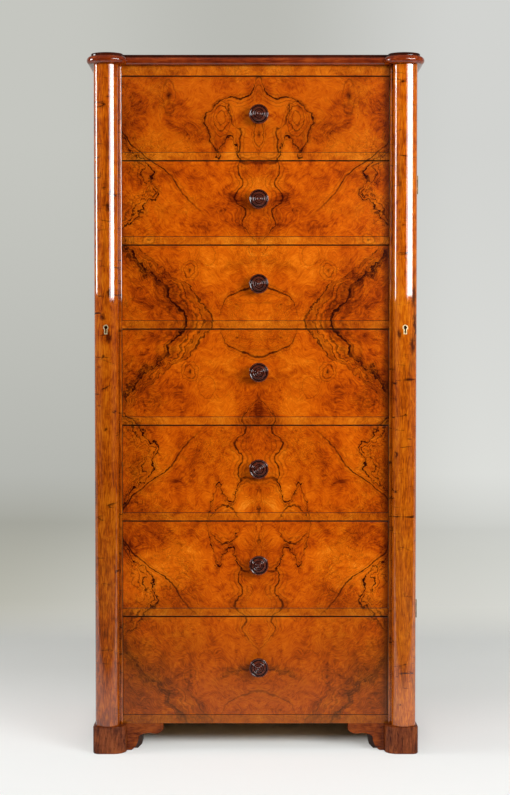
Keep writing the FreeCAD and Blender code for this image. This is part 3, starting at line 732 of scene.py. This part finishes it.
# the stile was cut from a lighter plank than the pilaster
stileWalnut = walnutAlong(
    "stileWalnutPolished", tones=("#762a05", "#ad4c06", "#c35f09", "#d4730f"), lowerShadeTone="#7a3d0c",
    knots=[(293, 855, 4, 22), (296, 800, 3, 30), (291, 764, 5, 16), (266, 783, 3, 8), (286, 700, 6, 3),
           (262, 560, 2, 6)], **upright,
)
topWalnut = walnutAlong("topWalnutPolished", tones=("#3f0e03", "#651f06", "#7c2c0a", "#944012"), **sideways)
# painted shade: the bead along the top is darkened nearly black, standing in for the dark room it would
# mirror
beadShadeWalnut = walnutAlong(
    "beadWalnutPaintedShade", sideways["grain"], (0.36, 0.50, 0.62), ("#1c0804", "#2f1007", "#46190b"), coat=0.6,
)
# the flat of the top is dulled by dusting and by what has stood on it
flatWalnut = walnutAlong(
    "topWalnutRubbed", tones=("#43100a", "#6b2408", "#83320c", "#9a4614"),
    coat=0.10, coatRoughness=0.38, coatIndex=1.4, **sideways,
)
sideWalnut = walnutAlong(
    "sideWalnutPolished", (4.167, 4.167, 71.43), upright["spots"],
    ("#6a2204", "#963b06", "#ab4b09", "#bd5c10"), (50, 50, 16.67), coat=0.7, coatRoughness=0.08,
)
plinthWalnut = walnutAlong(
    "plinthWalnutPolished", (4.348, 4.348, 25), (0.38, 0.46, 0.52, 0.60),
    ("#38150a", "#5a2812", "#6e3417", "#834420"), (8.333, 8.333, 33.33), coat=0.18,
)
bracketWalnut = walnutAlong(
    "bracketWalnutPolished", (16.67, 4.545, 4.545), (0.38, 0.46, 0.52, 0.60),
    ("#3d1506", "#612609", "#74310b", "#884012"), (33.33, 8.333, 8.333), coat=0.15,
)
rosewood = turnedRosewood("rosewoodTurned", "#3a150c", "#4c1e13", "#5c291a", 1.0)
# painted shade in the turned grooves: nearly black, with a dull coat
grooveShadeRosewood = turnedRosewood("rosewoodGroovePaintedShade", "#120503", "#1a0906", "#240e09", 0.3)
# painted shade: near-black walnut for the edges of fronts and rails in the gaps between them, and for the
# glue blocks and rear plinth in the shadow under the case
shadeDarkWalnut = bareWood("walnutPaintedShade", (62.5, 3.333, 3.333), ("#1c0d06", "#2e170b", "#40220f"), 0.6)
oak = bareWood("oakLining", (2.381, 33.33, 2.381), ("#a97f4e", "#c39a66", "#d4b07e"), 0.62)
cedar = bareWood("cedarBottom", (33.33, 3.846, 3.846), ("#8a4a2a", "#a5603a", "#b97650"), 0.66)
pine = bareWood("pineCarcass", (3.846, 3.846, 41.67), ("#a8763f", "#c4955c", "#d6ac75"), 0.68)
brass = wornMetal("brassCast", "#c9a25a", "#7d5c2c", 0.30)
threadBrass = wornMetal("brassDrawnPale", "#f6e6bd", "#d8bf86", 0.48)
hingeBrass = wornMetal("brassRolledTarnished", "#9a7840", "#4d3a20", 0.42)
steel = wornMetal("steelForged", "#a7a39c", "#5f5a53", 0.38)
nailIron = wornMetal("ironCutNails", "#4a423a", "#2c241e", 0.55)
slotMaterials = {
    "burr_walnut": burr, "walnut_top": topWalnut, "walnut_side": sideWalnut,
    "walnut_bracket": bracketWalnut, "dark_walnut_plinth": plinthWalnut, "rosewood": rosewood,
    "oak_lining": oak, "cedar_bottom": cedar, "pine_carcass": pine, "brass": brass, "lock_steel": steel,
}
for part in frame["record"]["subparts"]:
    shown = frame["nodes"][part["node"]]
    shown.data.materials.clear()
    finish = slotMaterials[part["material_slot"]]
    if part["node"].startswith("hinge"):
        finish = hingeBrass
    # painted shade: the glue blocks and rear plinth under the case take the near-black walnut
    elif part["node"] in ("glue_blocks", "rear_plinth"):
        finish = shadeDarkWalnut
    shown.data.materials.append(finish)
print("materials made:", len(bpy.data.materials))


# the moulded top

topForm = {
    "torus": 14.5 * mm, "torusGrow": 12.9 * mm, "lowerRound": 7 * mm, "upperRound": 7.2 * mm,
    "bead": 5.5 * mm, "beadGrow": 5 * mm, "beadEase": 2 * mm, "lap": 1 * mm,
}
caseTop = caseForm["caseTop"]
torusTop = caseTop + topForm["torus"]
beadTop = torusTop + topForm["bead"]
layers = [
    # how far out, from and to which height, and its rounds: a height, a size and segments
    (topForm["torusGrow"], caseTop, torusTop,
     [(caseTop, topForm["lowerRound"], 6), (torusTop, topForm["upperRound"], 6)]),
    (topForm["beadGrow"], torusTop - topForm["lap"], beadTop, [(beadTop, topForm["beadEase"], 3)]),
]
bm = bmesh.new()
for grow, foot, crown, rounds in layers:
    layer = bmesh.new()
    pen = layer.verts.new((0, front - grow, foot))
    pen = noseArcs(layer, pen, caseForm["noseWidth"] + caseForm["quirk"], grow)
    pen = lineTo(layer, pen, half + grow, caseForm["back"])
    lineTo(layer, pen, 0, caseForm["back"])
    bmesh.ops.mirror(layer, geom=layer.verts[:] + layer.edges[:], axis="X", merge_dist=near)
    raiseOutline(layer, (0, 0, crown - foot))
    for level, offset, segments in rounds:
        rim = edgesOn(layer, 2, level, edgesOn(layer, 1, caseForm["back"]))
        ease(layer, rim, offset, segments, False)
    helper = addMesh(layer, "helper")
    bm.from_mesh(helper.data)
    bpy.data.objects.remove(helper)
# the bead's faces take the painted-shade walnut, the flat of the top the rubbed one
for face in bm.faces:
    if face.calc_center_median().z > torusTop + 0.3 * mm:
        face.material_index = 1 if face.normal.z < 0.999 else 2
finishPiece(bm, "mouldedTop", "carcass", [topWalnut, beadShadeWalnut, flatWalnut], ["top_board"])
print("top made")

# pilasters: a half-round nose with a quirk strip beside it, whose face is a shallow bead

keyForm = {
    "x": 277.5 * mm, "z": 792.5 * mm, "width": 10 * mm, "height": 17.6 * mm, "leg": 6.4 * mm,
    "wall": 1.9 * mm, "liner": 4 * mm, "cutSmaller": 0.2 * mm, "cutDepth": 9 * mm,
}
stripForm = {"groove": 1 * mm, "grooveDepth": 1.6 * mm, "swell": 0.45 * mm}
hinges = {
    "middles": (1061.9 * mm, 269 * mm), "length": 34 * mm, "leaf": 15 * mm, "thickness": 1.1 * mm,
    "axis": (300.4 * mm, -179.7 * mm), "clearance": 2.8 * mm, "endPlay": 0.3 * mm,
}
beyond = 5 * mm                  # how far a cutter reaches past what it cuts
noseFace = front - caseForm["noseRise"]


def keyPlug(x, grow, y0, y1):
    # a keyhole-shaped plug: a round head with a parallel leg under it
    plug = bmesh.new()
    head = keyForm["width"] / 2 - grow
    leg = keyForm["leg"] / 2 - grow
    foot = keyForm["z"] - keyForm["height"] / 2 + grow
    headZ = keyForm["z"] + keyForm["height"] / 2 - keyForm["width"] / 2
    spread = math.degrees(math.asin(leg / head))
    start = plug.verts.new((x + leg, y0, headZ - math.sqrt(head ** 2 - leg ** 2)))
    pen = arcTo(plug, start, (x, y0, headZ), -(360 - 2 * spread), axis=(0, 1, 0), pace=10)
    pen = lineTo(plug, pen, x - leg, y0, foot)
    pen = lineTo(plug, pen, x + leg, y0, foot)
    lineTo(plug, pen, *start.co)
    raiseOutline(plug, (0, y1 - y0, 0))
    return plug


def pilasterBlank(y0, z0, z1):
    # the right-hand pilaster from a back plane forwards
    blank = bmesh.new()
    flank = half - caseForm["noseWidth"]
    inner = flank - caseForm["quirk"]
    crest = front - caseForm["quirkRise"]
    beadHalf = (flank - stripForm["groove"] - inner) / 2
    swell = stripForm["swell"]
    beadRadius = (beadHalf ** 2 + swell ** 2) / (2 * swell)
    beadTurn = 2 * math.degrees(math.asin(beadHalf / beadRadius))
    start = blank.verts.new((inner, y0, z0))
    pen = lineTo(blank, start, inner, crest + swell)
    pen = arcTo(blank, pen, (inner + beadHalf, crest + beadRadius, z0), beadTurn, pace=5)
    pen = lineTo(blank, pen, flank - stripForm["groove"], crest + stripForm["grooveDepth"])
    pen = noseArcs(blank, pen, caseForm["noseWidth"], 0)
    pen = lineTo(blank, pen, half, y0)
    lineTo(blank, pen, inner, y0)
    raiseOutline(blank, (0, 0, z1 - z0))
    return blank


bm = pilasterBlank(front, caseForm["footTop"], caseTop)
mirrorOver(bm)
bm = carve(bm, [
    keyPlug(-keyForm["x"], keyForm["cutSmaller"], noseFace - beyond, noseFace + keyForm["cutDepth"]),
])
finishPiece(bm, "pilasterLeft", "carcass", [pilasterWalnut], ["pilaster_left"])

low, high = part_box("locking_stile")
stileBack = high.y
lockLow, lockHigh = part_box("lock_case")
mortise = bmesh.new()
boxMesh(mortise, lockLow, (lockHigh.x, stileBack + beyond, lockHigh.z))
cutters = [keyPlug(keyForm["x"], keyForm["cutSmaller"], noseFace - beyond, stileBack + beyond), mortise]
for middle in hinges["middles"]:
    foot, crown = middle - hinges["length"] / 2, middle + hinges["length"] / 2
    bed, relief = bmesh.new(), bmesh.new()
    boxMesh(bed, (half - hinges["leaf"], stileBack - hinges["thickness"], foot),
            (half + beyond, stileBack + beyond, crown))
    axisX, axisY = hinges["axis"]
    pen = relief.verts.new((axisX + hinges["clearance"], axisY, foot - hinges["endPlay"]))
    arcTo(relief, pen, (axisX, axisY, pen.co.z), 360, pace=15)
    raiseOutline(relief, (0, 0, hinges["length"] + 2 * hinges["endPlay"]))
    cutters += [bed, relief]
bm = carve(pilasterBlank(stileBack, low.z, high.z), cutters)
finishPiece(bm, "lockingStile", "locking_stile", [stileWalnut], ["locking_stile"])
for x, body, name, node in (
    (-keyForm["x"], "carcass", "keyholeThreadLeft", "escutcheon_left"),
    (keyForm["x"], "locking_stile", "keyholeThreadRight", "escutcheon_right"),
):
    bm = carve(keyPlug(x, 0, noseFace, noseFace + keyForm["liner"]), [
        keyPlug(x, keyForm["wall"], noseFace - beyond, noseFace + 2 * beyond),
    ])
    finishPiece(bm, name, body, [threadBrass], [node], weighted=False)
print("pilaster, stile and keyhole threads made")

# rails and drawer fronts, veneered on their faces

frontForm = {
    "ease": 0.9 * mm, "narrower": 0.05 * mm, "headroom": 0.5 * mm, "railEase": 0.5 * mm,
    "dividerGap": 0.4 * mm, "divider": 14.5 * mm,
}


def veneeredBoard(bm, low, high, offset):
    faces = {f for v in boxMesh(bm, low, high) for f in v.link_faces}
    veneered = min(faces, key=lambda f: f.calc_center_median().y)
    for face in faces:
        face.material_index = 0 if face is veneered else 1
    ease(bm, list(veneered.edges), offset, 2)


dividers = []
rowLow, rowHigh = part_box("drawer_dividers")
for number in range(1, 8):
    node = "drawer_%d_front" % number
    low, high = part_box(node)
    bm = bmesh.new()
    inset = Vector((frontForm["narrower"], 0, 0))
    top = high - inset - Vector((0, 0, frontForm["headroom"]))
    veneeredBoard(bm, low + inset, top, frontForm["ease"])
    finishPiece(bm, "drawerFront%d" % number, "drawer_%d" % number, [burr, shadeDarkWalnut], [node])
    above = low.z - frontForm["dividerGap"]
    dividers.append((
        (rowLow.x, rowLow.y, above - frontForm["divider"]), (rowHigh.x, rowHigh.y, above),
    ))
for name, node, boards in (
    ("friezeRail", "frieze_rail", [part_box("frieze_rail")]),
    ("bottomRail", "bottom_rail", [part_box("bottom_rail")]),
    ("drawerDividers", "drawer_dividers", dividers[:-1]),
):
    bm = bmesh.new()
    for low, high in boards:
        veneeredBoard(bm, low, high, frontForm["railEase"])
    finishPiece(bm, name, "carcass", [crossBanding, shadeDarkWalnut], [node])
print("fronts and rails made")

# plinth blocks, shaped brackets and side plinths

footForm = {
    "proud": 4 * mm, "width": 62 * mm, "rise": 31 * mm, "outerRound": 12 * mm, "innerRound": 24 * mm,
    "topEase": 1.4 * mm, "soleEase": 2 * mm, "thickness": 18 * mm, "lap": 20 * mm,
    "reach": 68 * mm, "tip": 12 * mm, "toe": 8 * mm, "shelf": 26 * mm, "bracketEase": 1 * mm,
    "swell": 4 * mm, "hollow": 2 * mm,
}
footTop = caseForm["footTop"]
blockOuter = half + footForm["proud"]
blockInner = blockOuter - footForm["width"]


def plinthBlock(bm):
    crown = front - footForm["rise"]
    inner, outer = footForm["innerRound"], footForm["outerRound"]
    start = bm.verts.new((blockInner, front, 0))
    pen = lineTo(bm, start, blockInner, crown + inner)
    pen = arcTo(bm, pen, (blockInner + inner, crown + inner, 0), 90)
    pen = lineTo(bm, pen, blockOuter - outer, crown)
    pen = arcTo(bm, pen, (blockOuter - outer, crown + outer, 0), 90)
    pen = lineTo(bm, pen, blockOuter, front)
    lineTo(bm, pen, blockInner, front)
    raiseOutline(bm, (0, 0, footTop))
    for level, offset in ((0, footForm["soleEase"]), (footTop, footForm["topEase"])):
        ease(bm, edgesOn(bm, 2, level, edgesOn(bm, 1, front)), offset, 3)


def footBracket(bm):
    outer = blockOuter - footForm["lap"]
    toe = blockInner - footForm["toe"]
    tip = Vector((blockInner - footForm["reach"], front, footTop - footForm["tip"]))
    cusp = Vector((toe - footForm["shelf"] / 2, front, footForm["shelf"]))
    start = bm.verts.new((outer, front, footTop))
    pen = lineTo(bm, start, tip.x, front, footTop)
    pen = lineTo(bm, pen, *tip)
    pen = bowTo(bm, pen, (tip + cusp) / 2, -footForm["swell"])
    pen = bowTo(bm, pen, cusp, footForm["hollow"])
    pen = bowTo(bm, pen, (toe, front, 0), -footForm["swell"])
    pen = lineTo(bm, pen, outer, front, 0)
    lineTo(bm, pen, outer, front, footTop)
    raiseOutline(bm, (0, footForm["thickness"], 0))
    ease(bm, edgesOn(bm, 1, front, edgesOn(bm, 2, footTop)), footForm["bracketEase"])


for side in ("Right", "Left"):
    for name, node, draw, slotName, material in (
        ("plinthBlock", "plinth_block_", plinthBlock, "dark_walnut_plinth", plinthWalnut),
        ("footBracket", "bracket_", footBracket, "walnut_bracket", bracketWalnut),
    ):
        bm = bmesh.new()
        draw(bm)
        if side == "Left":
            mirrorOver(bm)
        finishPiece(bm, name + side, "carcass", [material], [node + side.lower()])
    node = "side_plinth_" + side.lower()
    bm = bmesh.new()
    boxMesh(bm, *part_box(node))
    outerX = max((v.co.x for v in bm.verts), key=abs)
    ease(bm, edgesOn(bm, 0, outerX, edgesOn(bm, 2, 0)), footForm["soleEase"], 3)
    finishPiece(bm, "sidePlinth" + side, "carcass", [plinthWalnut], [node])
print("plinth made")

# turned knobs

knobForm = {
    # radius and height over the drawer front in mm, from the foot of the neck round to the dimple
    "profile": [
        (0, 0), (9.0, 0), (9.0, 1.2), (7.6, 2.6), (6.6, 5), (6.4, 8.5), (7.4, 12), (10.5, 14.6),
        (15, 16.2), (17.8, 17.8), (18.6, 20), (18.2, 22.2), (17, 23.3), (15.8, 22.8), (14.8, 22.3),
        (13.4, 22.9), (12.2, 24.4), (11.3, 26.2), (10.3, 26.9), (9.4, 26.4), (8.7, 25.6), (8.0, 26.2),
        (7.4, 27.6), (6.6, 28.1), (5.9, 27.6), (5.3, 26.9), (4.7, 27.4), (4.2, 29.1), (3.3, 29.9),
        (1.8, 29.5), (0.9, 28.6), (0, 28.2),
    ],
    "steps": 28,
    # the grooves in the face that take the painted shade: between which radii, and over which height
    "grooves": [(13.0, 15.6), (8.2, 9.1), (5.1, 5.9), (0, 0.9)], "faceFrom": 21,
}


def turnedKnob(x, z):
    bm = bmesh.new()
    pen = None
    for radius, rise in knobForm["profile"]:
        spot = (x + radius * mm, front - rise * mm, z)
        pen = bm.verts.new(spot) if pen is None else lineTo(bm, pen, *spot)
    bmesh.ops.spin(
        bm, geom=bm.verts[:] + bm.edges[:], cent=(x, front, z), axis=(0, 1, 0),
        angle=math.tau, steps=knobForm["steps"], use_merge=True,
    )
    bmesh.ops.remove_doubles(bm, verts=bm.verts[:], dist=10 * near)
    bmesh.ops.recalc_face_normals(bm, faces=bm.faces[:])
    for face in bm.faces:
        spot = face.calc_center_median()
        radius = math.hypot(spot.x - x, spot.z - z) / mm
        onFace = front - spot.y > knobForm["faceFrom"] * mm
        face.material_index = int(onFace and any(a < radius < b for a, b in knobForm["grooves"]))
    return bm


for number in range(1, 8):
    node = "drawer_%d_knob" % number
    low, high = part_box(node)
    knob = finishPiece(
        turnedKnob((low.x + high.x) / 2, (low.z + high.z) / 2), "turnedKnob%d" % number,
        "drawer_%d" % number, [rosewood, grooveShadeRosewood], [node], sharp=80, weighted=False,
    )
    smoothing = knob.modifiers.new("turning", "SUBSURF")
    smoothing.levels = smoothing.render_levels = 2
print("knobs made")

# back boards with V-joints, nailed to the case

backForm = {
    "boards": 4, "vee": 2.5 * mm, "nail": 5 * mm, "proud": 0.4 * mm, "sunk": 1 * mm, "taper": 0.6,
    "fromSide": 28 * mm, "fromFoot": 10 * mm, "rows": (22, 330, 640, 950, 1258),
}
low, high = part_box("back_boards")
boardWidth = (high.x - low.x) / backForm["boards"]
boardFace = high.y - backForm["proud"]
boards, nails = bmesh.new(), bmesh.new()
for number in range(backForm["boards"]):
    x0 = low.x + number * boardWidth
    verts = boxMesh(boards, (x0, low.y, low.z), (x0 + boardWidth, boardFace, high.z))
    own = {e for v in verts for e in v.link_edges}
    level = edgesOn(boards, 2, low.z) + edgesOn(boards, 2, high.z)
    ease(boards, [e for e in edgesOn(boards, 1, boardFace, level) if e in own], backForm["vee"], 1)
    for x in (x0 + backForm["fromSide"], x0 + boardWidth - backForm["fromSide"]):
        for row in backForm["rows"]:
            z, r = max(row * mm, low.z + backForm["fromFoot"]), backForm["nail"] / 2
            verts = boxMesh(nails, (x - r, boardFace - backForm["sunk"], z - r), (x + r, high.y, z + r))
            cap = [v for v in verts if abs(v.co.y - high.y) < near]
            taper = (backForm["taper"], 1, backForm["taper"])
            bmesh.ops.scale(nails, vec=taper, verts=cap, space=Matrix.Translation((-x, 0, -z)))
finishPiece(boards, "backBoards", "carcass", [pine], ["back_boards"])
finishPiece(nails, "backNails", "carcass", [nailIron], weighted=False)
print("back boards made")

# hinge screws: countersunk heads with a slot

screwForm = {
    "radius": 2.2 * mm, "proud": 0.12 * mm, "sunk": 0.6 * mm, "slot": 0.35 * mm, "slotDepth": 0.4 * mm,
    # places on a leaf, from its middle
    "spots": ((-3 * mm, -11 * mm), (-3 * mm, 11 * mm), (1 * mm, 0)),
}


def screwHead(bm, x, y, z, facing):
    # facing is 1 for a head that looks along +Y and -1 for a head that looks along -Y
    before = set(bm.verts)
    start = bm.verts.new((x + screwForm["radius"], y - facing * screwForm["sunk"], z))
    arcTo(bm, start, (x, start.co.y, z), 360, axis=(0, 1, 0), pace=22.5)
    bmesh.ops.remove_doubles(bm, verts=[v for v in bm.verts if v not in before], dist=near)
    ring = [v for v in bm.verts if v not in before]
    edges = list({e for v in ring for e in v.link_edges})
    face = bmesh.ops.contextual_create(bm, geom=ring + edges)["faces"][0]
    cap = raiseFace(bm, face, (0, facing * (screwForm["sunk"] + screwForm["proud"]), 0))
    pieces = [cap] + list(cap.verts) + list(cap.edges)
    for level in (z - screwForm["slot"], z + screwForm["slot"]):
        cut = bmesh.ops.bisect_plane(
            bm, geom=pieces, plane_co=(x, y, level), plane_no=(0, 0, 1), dist=near / 10,
        )
        pieces = [g for g in cut["geom"] if g.is_valid]
    strips = [g for g in pieces if isinstance(g, bmesh.types.BMFace)]
    middle = min(strips, key=lambda f: abs(f.calc_center_median().z - z))
    raiseFace(bm, middle, (0, -facing * screwForm["slotDepth"], 0))


for name, body, plane, facing in (
    ("hingeScrewsCase", "carcass", front, -1), ("hingeScrewsStile", "locking_stile", stileBack, 1),
):
    bm = bmesh.new()
    for middle in hinges["middles"]:
        for x, z in screwForm["spots"]:
            screwHead(bm, half - hinges["leaf"] / 2 + x, plane, middle + z, facing)
    bmesh.ops.recalc_face_normals(bm, faces=bm.faces[:])
    finishPiece(bm, name, body, [brass], weighted=False)
print("hinge screws made")

# camera, light and studio

cameraForm = {
    "place": (-0.00103, -3.1795, 0.76468), "down": 0.033023, "lens": 72.594, "sensor": 36, "farthest": 60,
}
camera = addObject("camera", bpy.data.cameras.new("camera"))
camera.location = cameraForm["place"]
camera.rotation_euler = (math.pi / 2 - cameraForm["down"], 0, 0)
camera.data.lens = cameraForm["lens"]
camera.data.sensor_width = cameraForm["sensor"]
camera.data.clip_end = cameraForm["farthest"]
scene.camera = camera

stageForm = {"wallAt": 5.0, "sweep": 1.6, "wide": 9.0, "high": 5.0, "near": -4.2}
wide, bend = stageForm["wide"], stageForm["sweep"]
bm = bmesh.new()
pen = bm.verts.new((-wide, stageForm["near"], 0))
pen = lineTo(bm, pen, -wide, stageForm["wallAt"] - bend)
pen = arcTo(bm, pen, (-wide, pen.co.y, bend), 90, axis=(1, 0, 0))
lineTo(bm, pen, -wide, pen.co.y, stageForm["high"])
made = bmesh.ops.extrude_edge_only(bm, edges=bm.edges[:])
moved = [g for g in made["geom"] if isinstance(g, bmesh.types.BMVert)]
bmesh.ops.translate(bm, verts=moved, vec=(2 * wide, 0, 0))
bmesh.ops.recalc_face_normals(bm, faces=bm.faces[:])
sweep = addMesh(bm, "studioSweep")
sweep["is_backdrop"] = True

paperForm = {
    # painted light and shade along the paper, from the floor in front to the top of the wall: metres along,
    # then the tone
    "left": [(0.0, "#f4f3ee"), (0.6, "#cbc9c1"), (1.6, "#b5b4a8"), (3.6, "#a5a59c"), (4.3, "#b5b6b0"),
             (6.8, "#c5c6c0")],
    "middle": [(0.0, "#f4f3ee"), (0.6, "#d2d1ca"), (3.6, "#b4b4ac"), (5.0, "#b6b7b1"), (6.8, "#babbb5")],
    "right": [(0.0, "#f6f5f1"), (0.6, "#e0e0da"), (2.5, "#d0d1cb"), (3.4, "#cbccc7"), (4.3, "#dddeda"),
              (6.8, "#d2d3d0")],
    # where one tone passes into the next, across the paper and along it, in metres
    "nearer": (-1.0, -0.1), "farther": (0.0, 1.1), "painted": (0.45, 1.5),
    "span": (-0.5, 8.0), "sheetEnd": (-1.00, -0.54), "underX": (0.27, 0.36), "underY": (-0.15, -0.05),
    "floor": "#f3f7f8", "floorShare": 0.45, "studioFloor": "#4a4744",
}


def studioPaper():
    # seamless background paper, matt, its tones painted light and shade: near white on the floor, falling off
    # to grey behind, darker on the left and lighter on the right
    material, add, shader, place = newMaterial("studioPaper")
    low, high = paperForm["span"]
    soft = {"interpolation_type": "SMOOTHSTEP"}
    x, y, z = add("SeparateXYZ", [place]).outputs
    along = add("Math", [y, z], "ADD")
    scaled = add("MapRange", [along, low, high])
    left, middle, right = [
        add("ValToRGB", [scaled], stops=[((a - low) / (high - low), tone) for a, tone in paperForm[side]])
        for side in ("left", "middle", "right")
    ]
    nearer = add("MapRange", [x, *paperForm["nearer"]], **soft)
    farther = add("MapRange", [x, *paperForm["farther"]], **soft)
    tone = stained(add, left, [(nearer, middle), (farther, right)])
    # the paper ends a pace in front of the chest, on a darker studio floor
    sheet = add("MapRange", [along, *paperForm["sheetEnd"]])
    lit = stained(add, paperForm["studioFloor"], [(sheet, paperForm["floor"])])
    setInputs(shader, {"Roughness": 0.9, "Specular IOR Level": 0.1, "Base Color": lit})
    # the floor about the chest is partly painted too, but not under it, where only its shadow shows
    sideways = add("Math", [x], "ABSOLUTE")
    underX = add("MapRange", [sideways, *paperForm["underX"], 1.0, 0.0], **soft)
    underY = add("MapRange", [along, *paperForm["underY"]], **soft)
    covered = add("Math", [underX, underY], "MULTIPLY")
    share = paperForm["floorShare"]
    uncovered = add("Math", [covered, -share, share], "MULTIPLY_ADD")
    onSheet = add("Math", [uncovered, sheet], "MULTIPLY")
    behind = add("MapRange", [along, *paperForm["painted"]], **soft)
    rays = add("LightPath").outputs
    direct = strongest(add, [rays["Is " + kind + " Ray"] for kind in ("Camera", "Glossy", "Transmission")])
    share = add("Math", [direct, strongest(add, [behind, onSheet])], "MULTIPLY")
    both = add("MixShader", [share, shader, add("Emission", {"Color": tone})])
    setInputs(material.node_tree.nodes["Material Output"], {"Surface": both})
    return material


sweep.data.materials.append(studioPaper())

lamps = {
    # name: place, target, width, height, watts
    "rightSoftbox": ((1.75, -2.2, 1.38), (0, 0, 1.38), 1.45, 0.90, 66),
    "rightEdge": ((1.02, -2.85, 1.38), (0, 0, 1.38), 0.55, 0.90, 9),
    "leftStrip": ((-2.5, -0.45, 1.38), (0, -0.2, 1.38), 0.80, 0.90, 36),
    "overheadFill": ((-0.3, -1.0, 3.2), (0, 0, 0.4), 2.6, 2.0, 28),
    "frontFill": ((-0.9, -4.2, 2.9), (0, 0, 0.6), 2.4, 1.2, 48),
}
for name, (spot, target, width, height, watts) in lamps.items():
    lamp = bpy.data.lights.new(name, "AREA")
    lamp.shape = "RECTANGLE"
    lamp.size, lamp.size_y = width, height
    lamp.energy = watts
    holder = addObject(name, lamp)
    holder.location = spot
    holder.rotation_euler = (Vector(spot) - Vector(target)).to_track_quat("Z", "Y").to_euler()
    # the fills light the case, but the polish mirrors only the softboxes beside it
    holder.visible_glossy = "Fill" not in name

# the room behind the camera is dark, as the polished fronts show
roomTones = [(0.0, "#c8c8c4"), (0.72, "#b4b4b0"), (0.93, "#3c3a38"), (1.0, "#2a2827")]
world = bpy.data.worlds.new("studioRoom")
scene.world = world
world.use_nodes = True
add = functools.partial(addNode, world.node_tree)
direction = add("TexCoord").outputs["Generated"]
ahead = add("VectorMath", [direction, (0, -1, 0)], "DOT_PRODUCT").outputs["Value"]
room = add("ValToRGB", [ahead], stops=roomTones)
setInputs(world.node_tree.nodes["Background"], {"Color": room, "Strength": 0.22})

scene.view_settings.view_transform = "Standard"
print("studio made")

low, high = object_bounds()
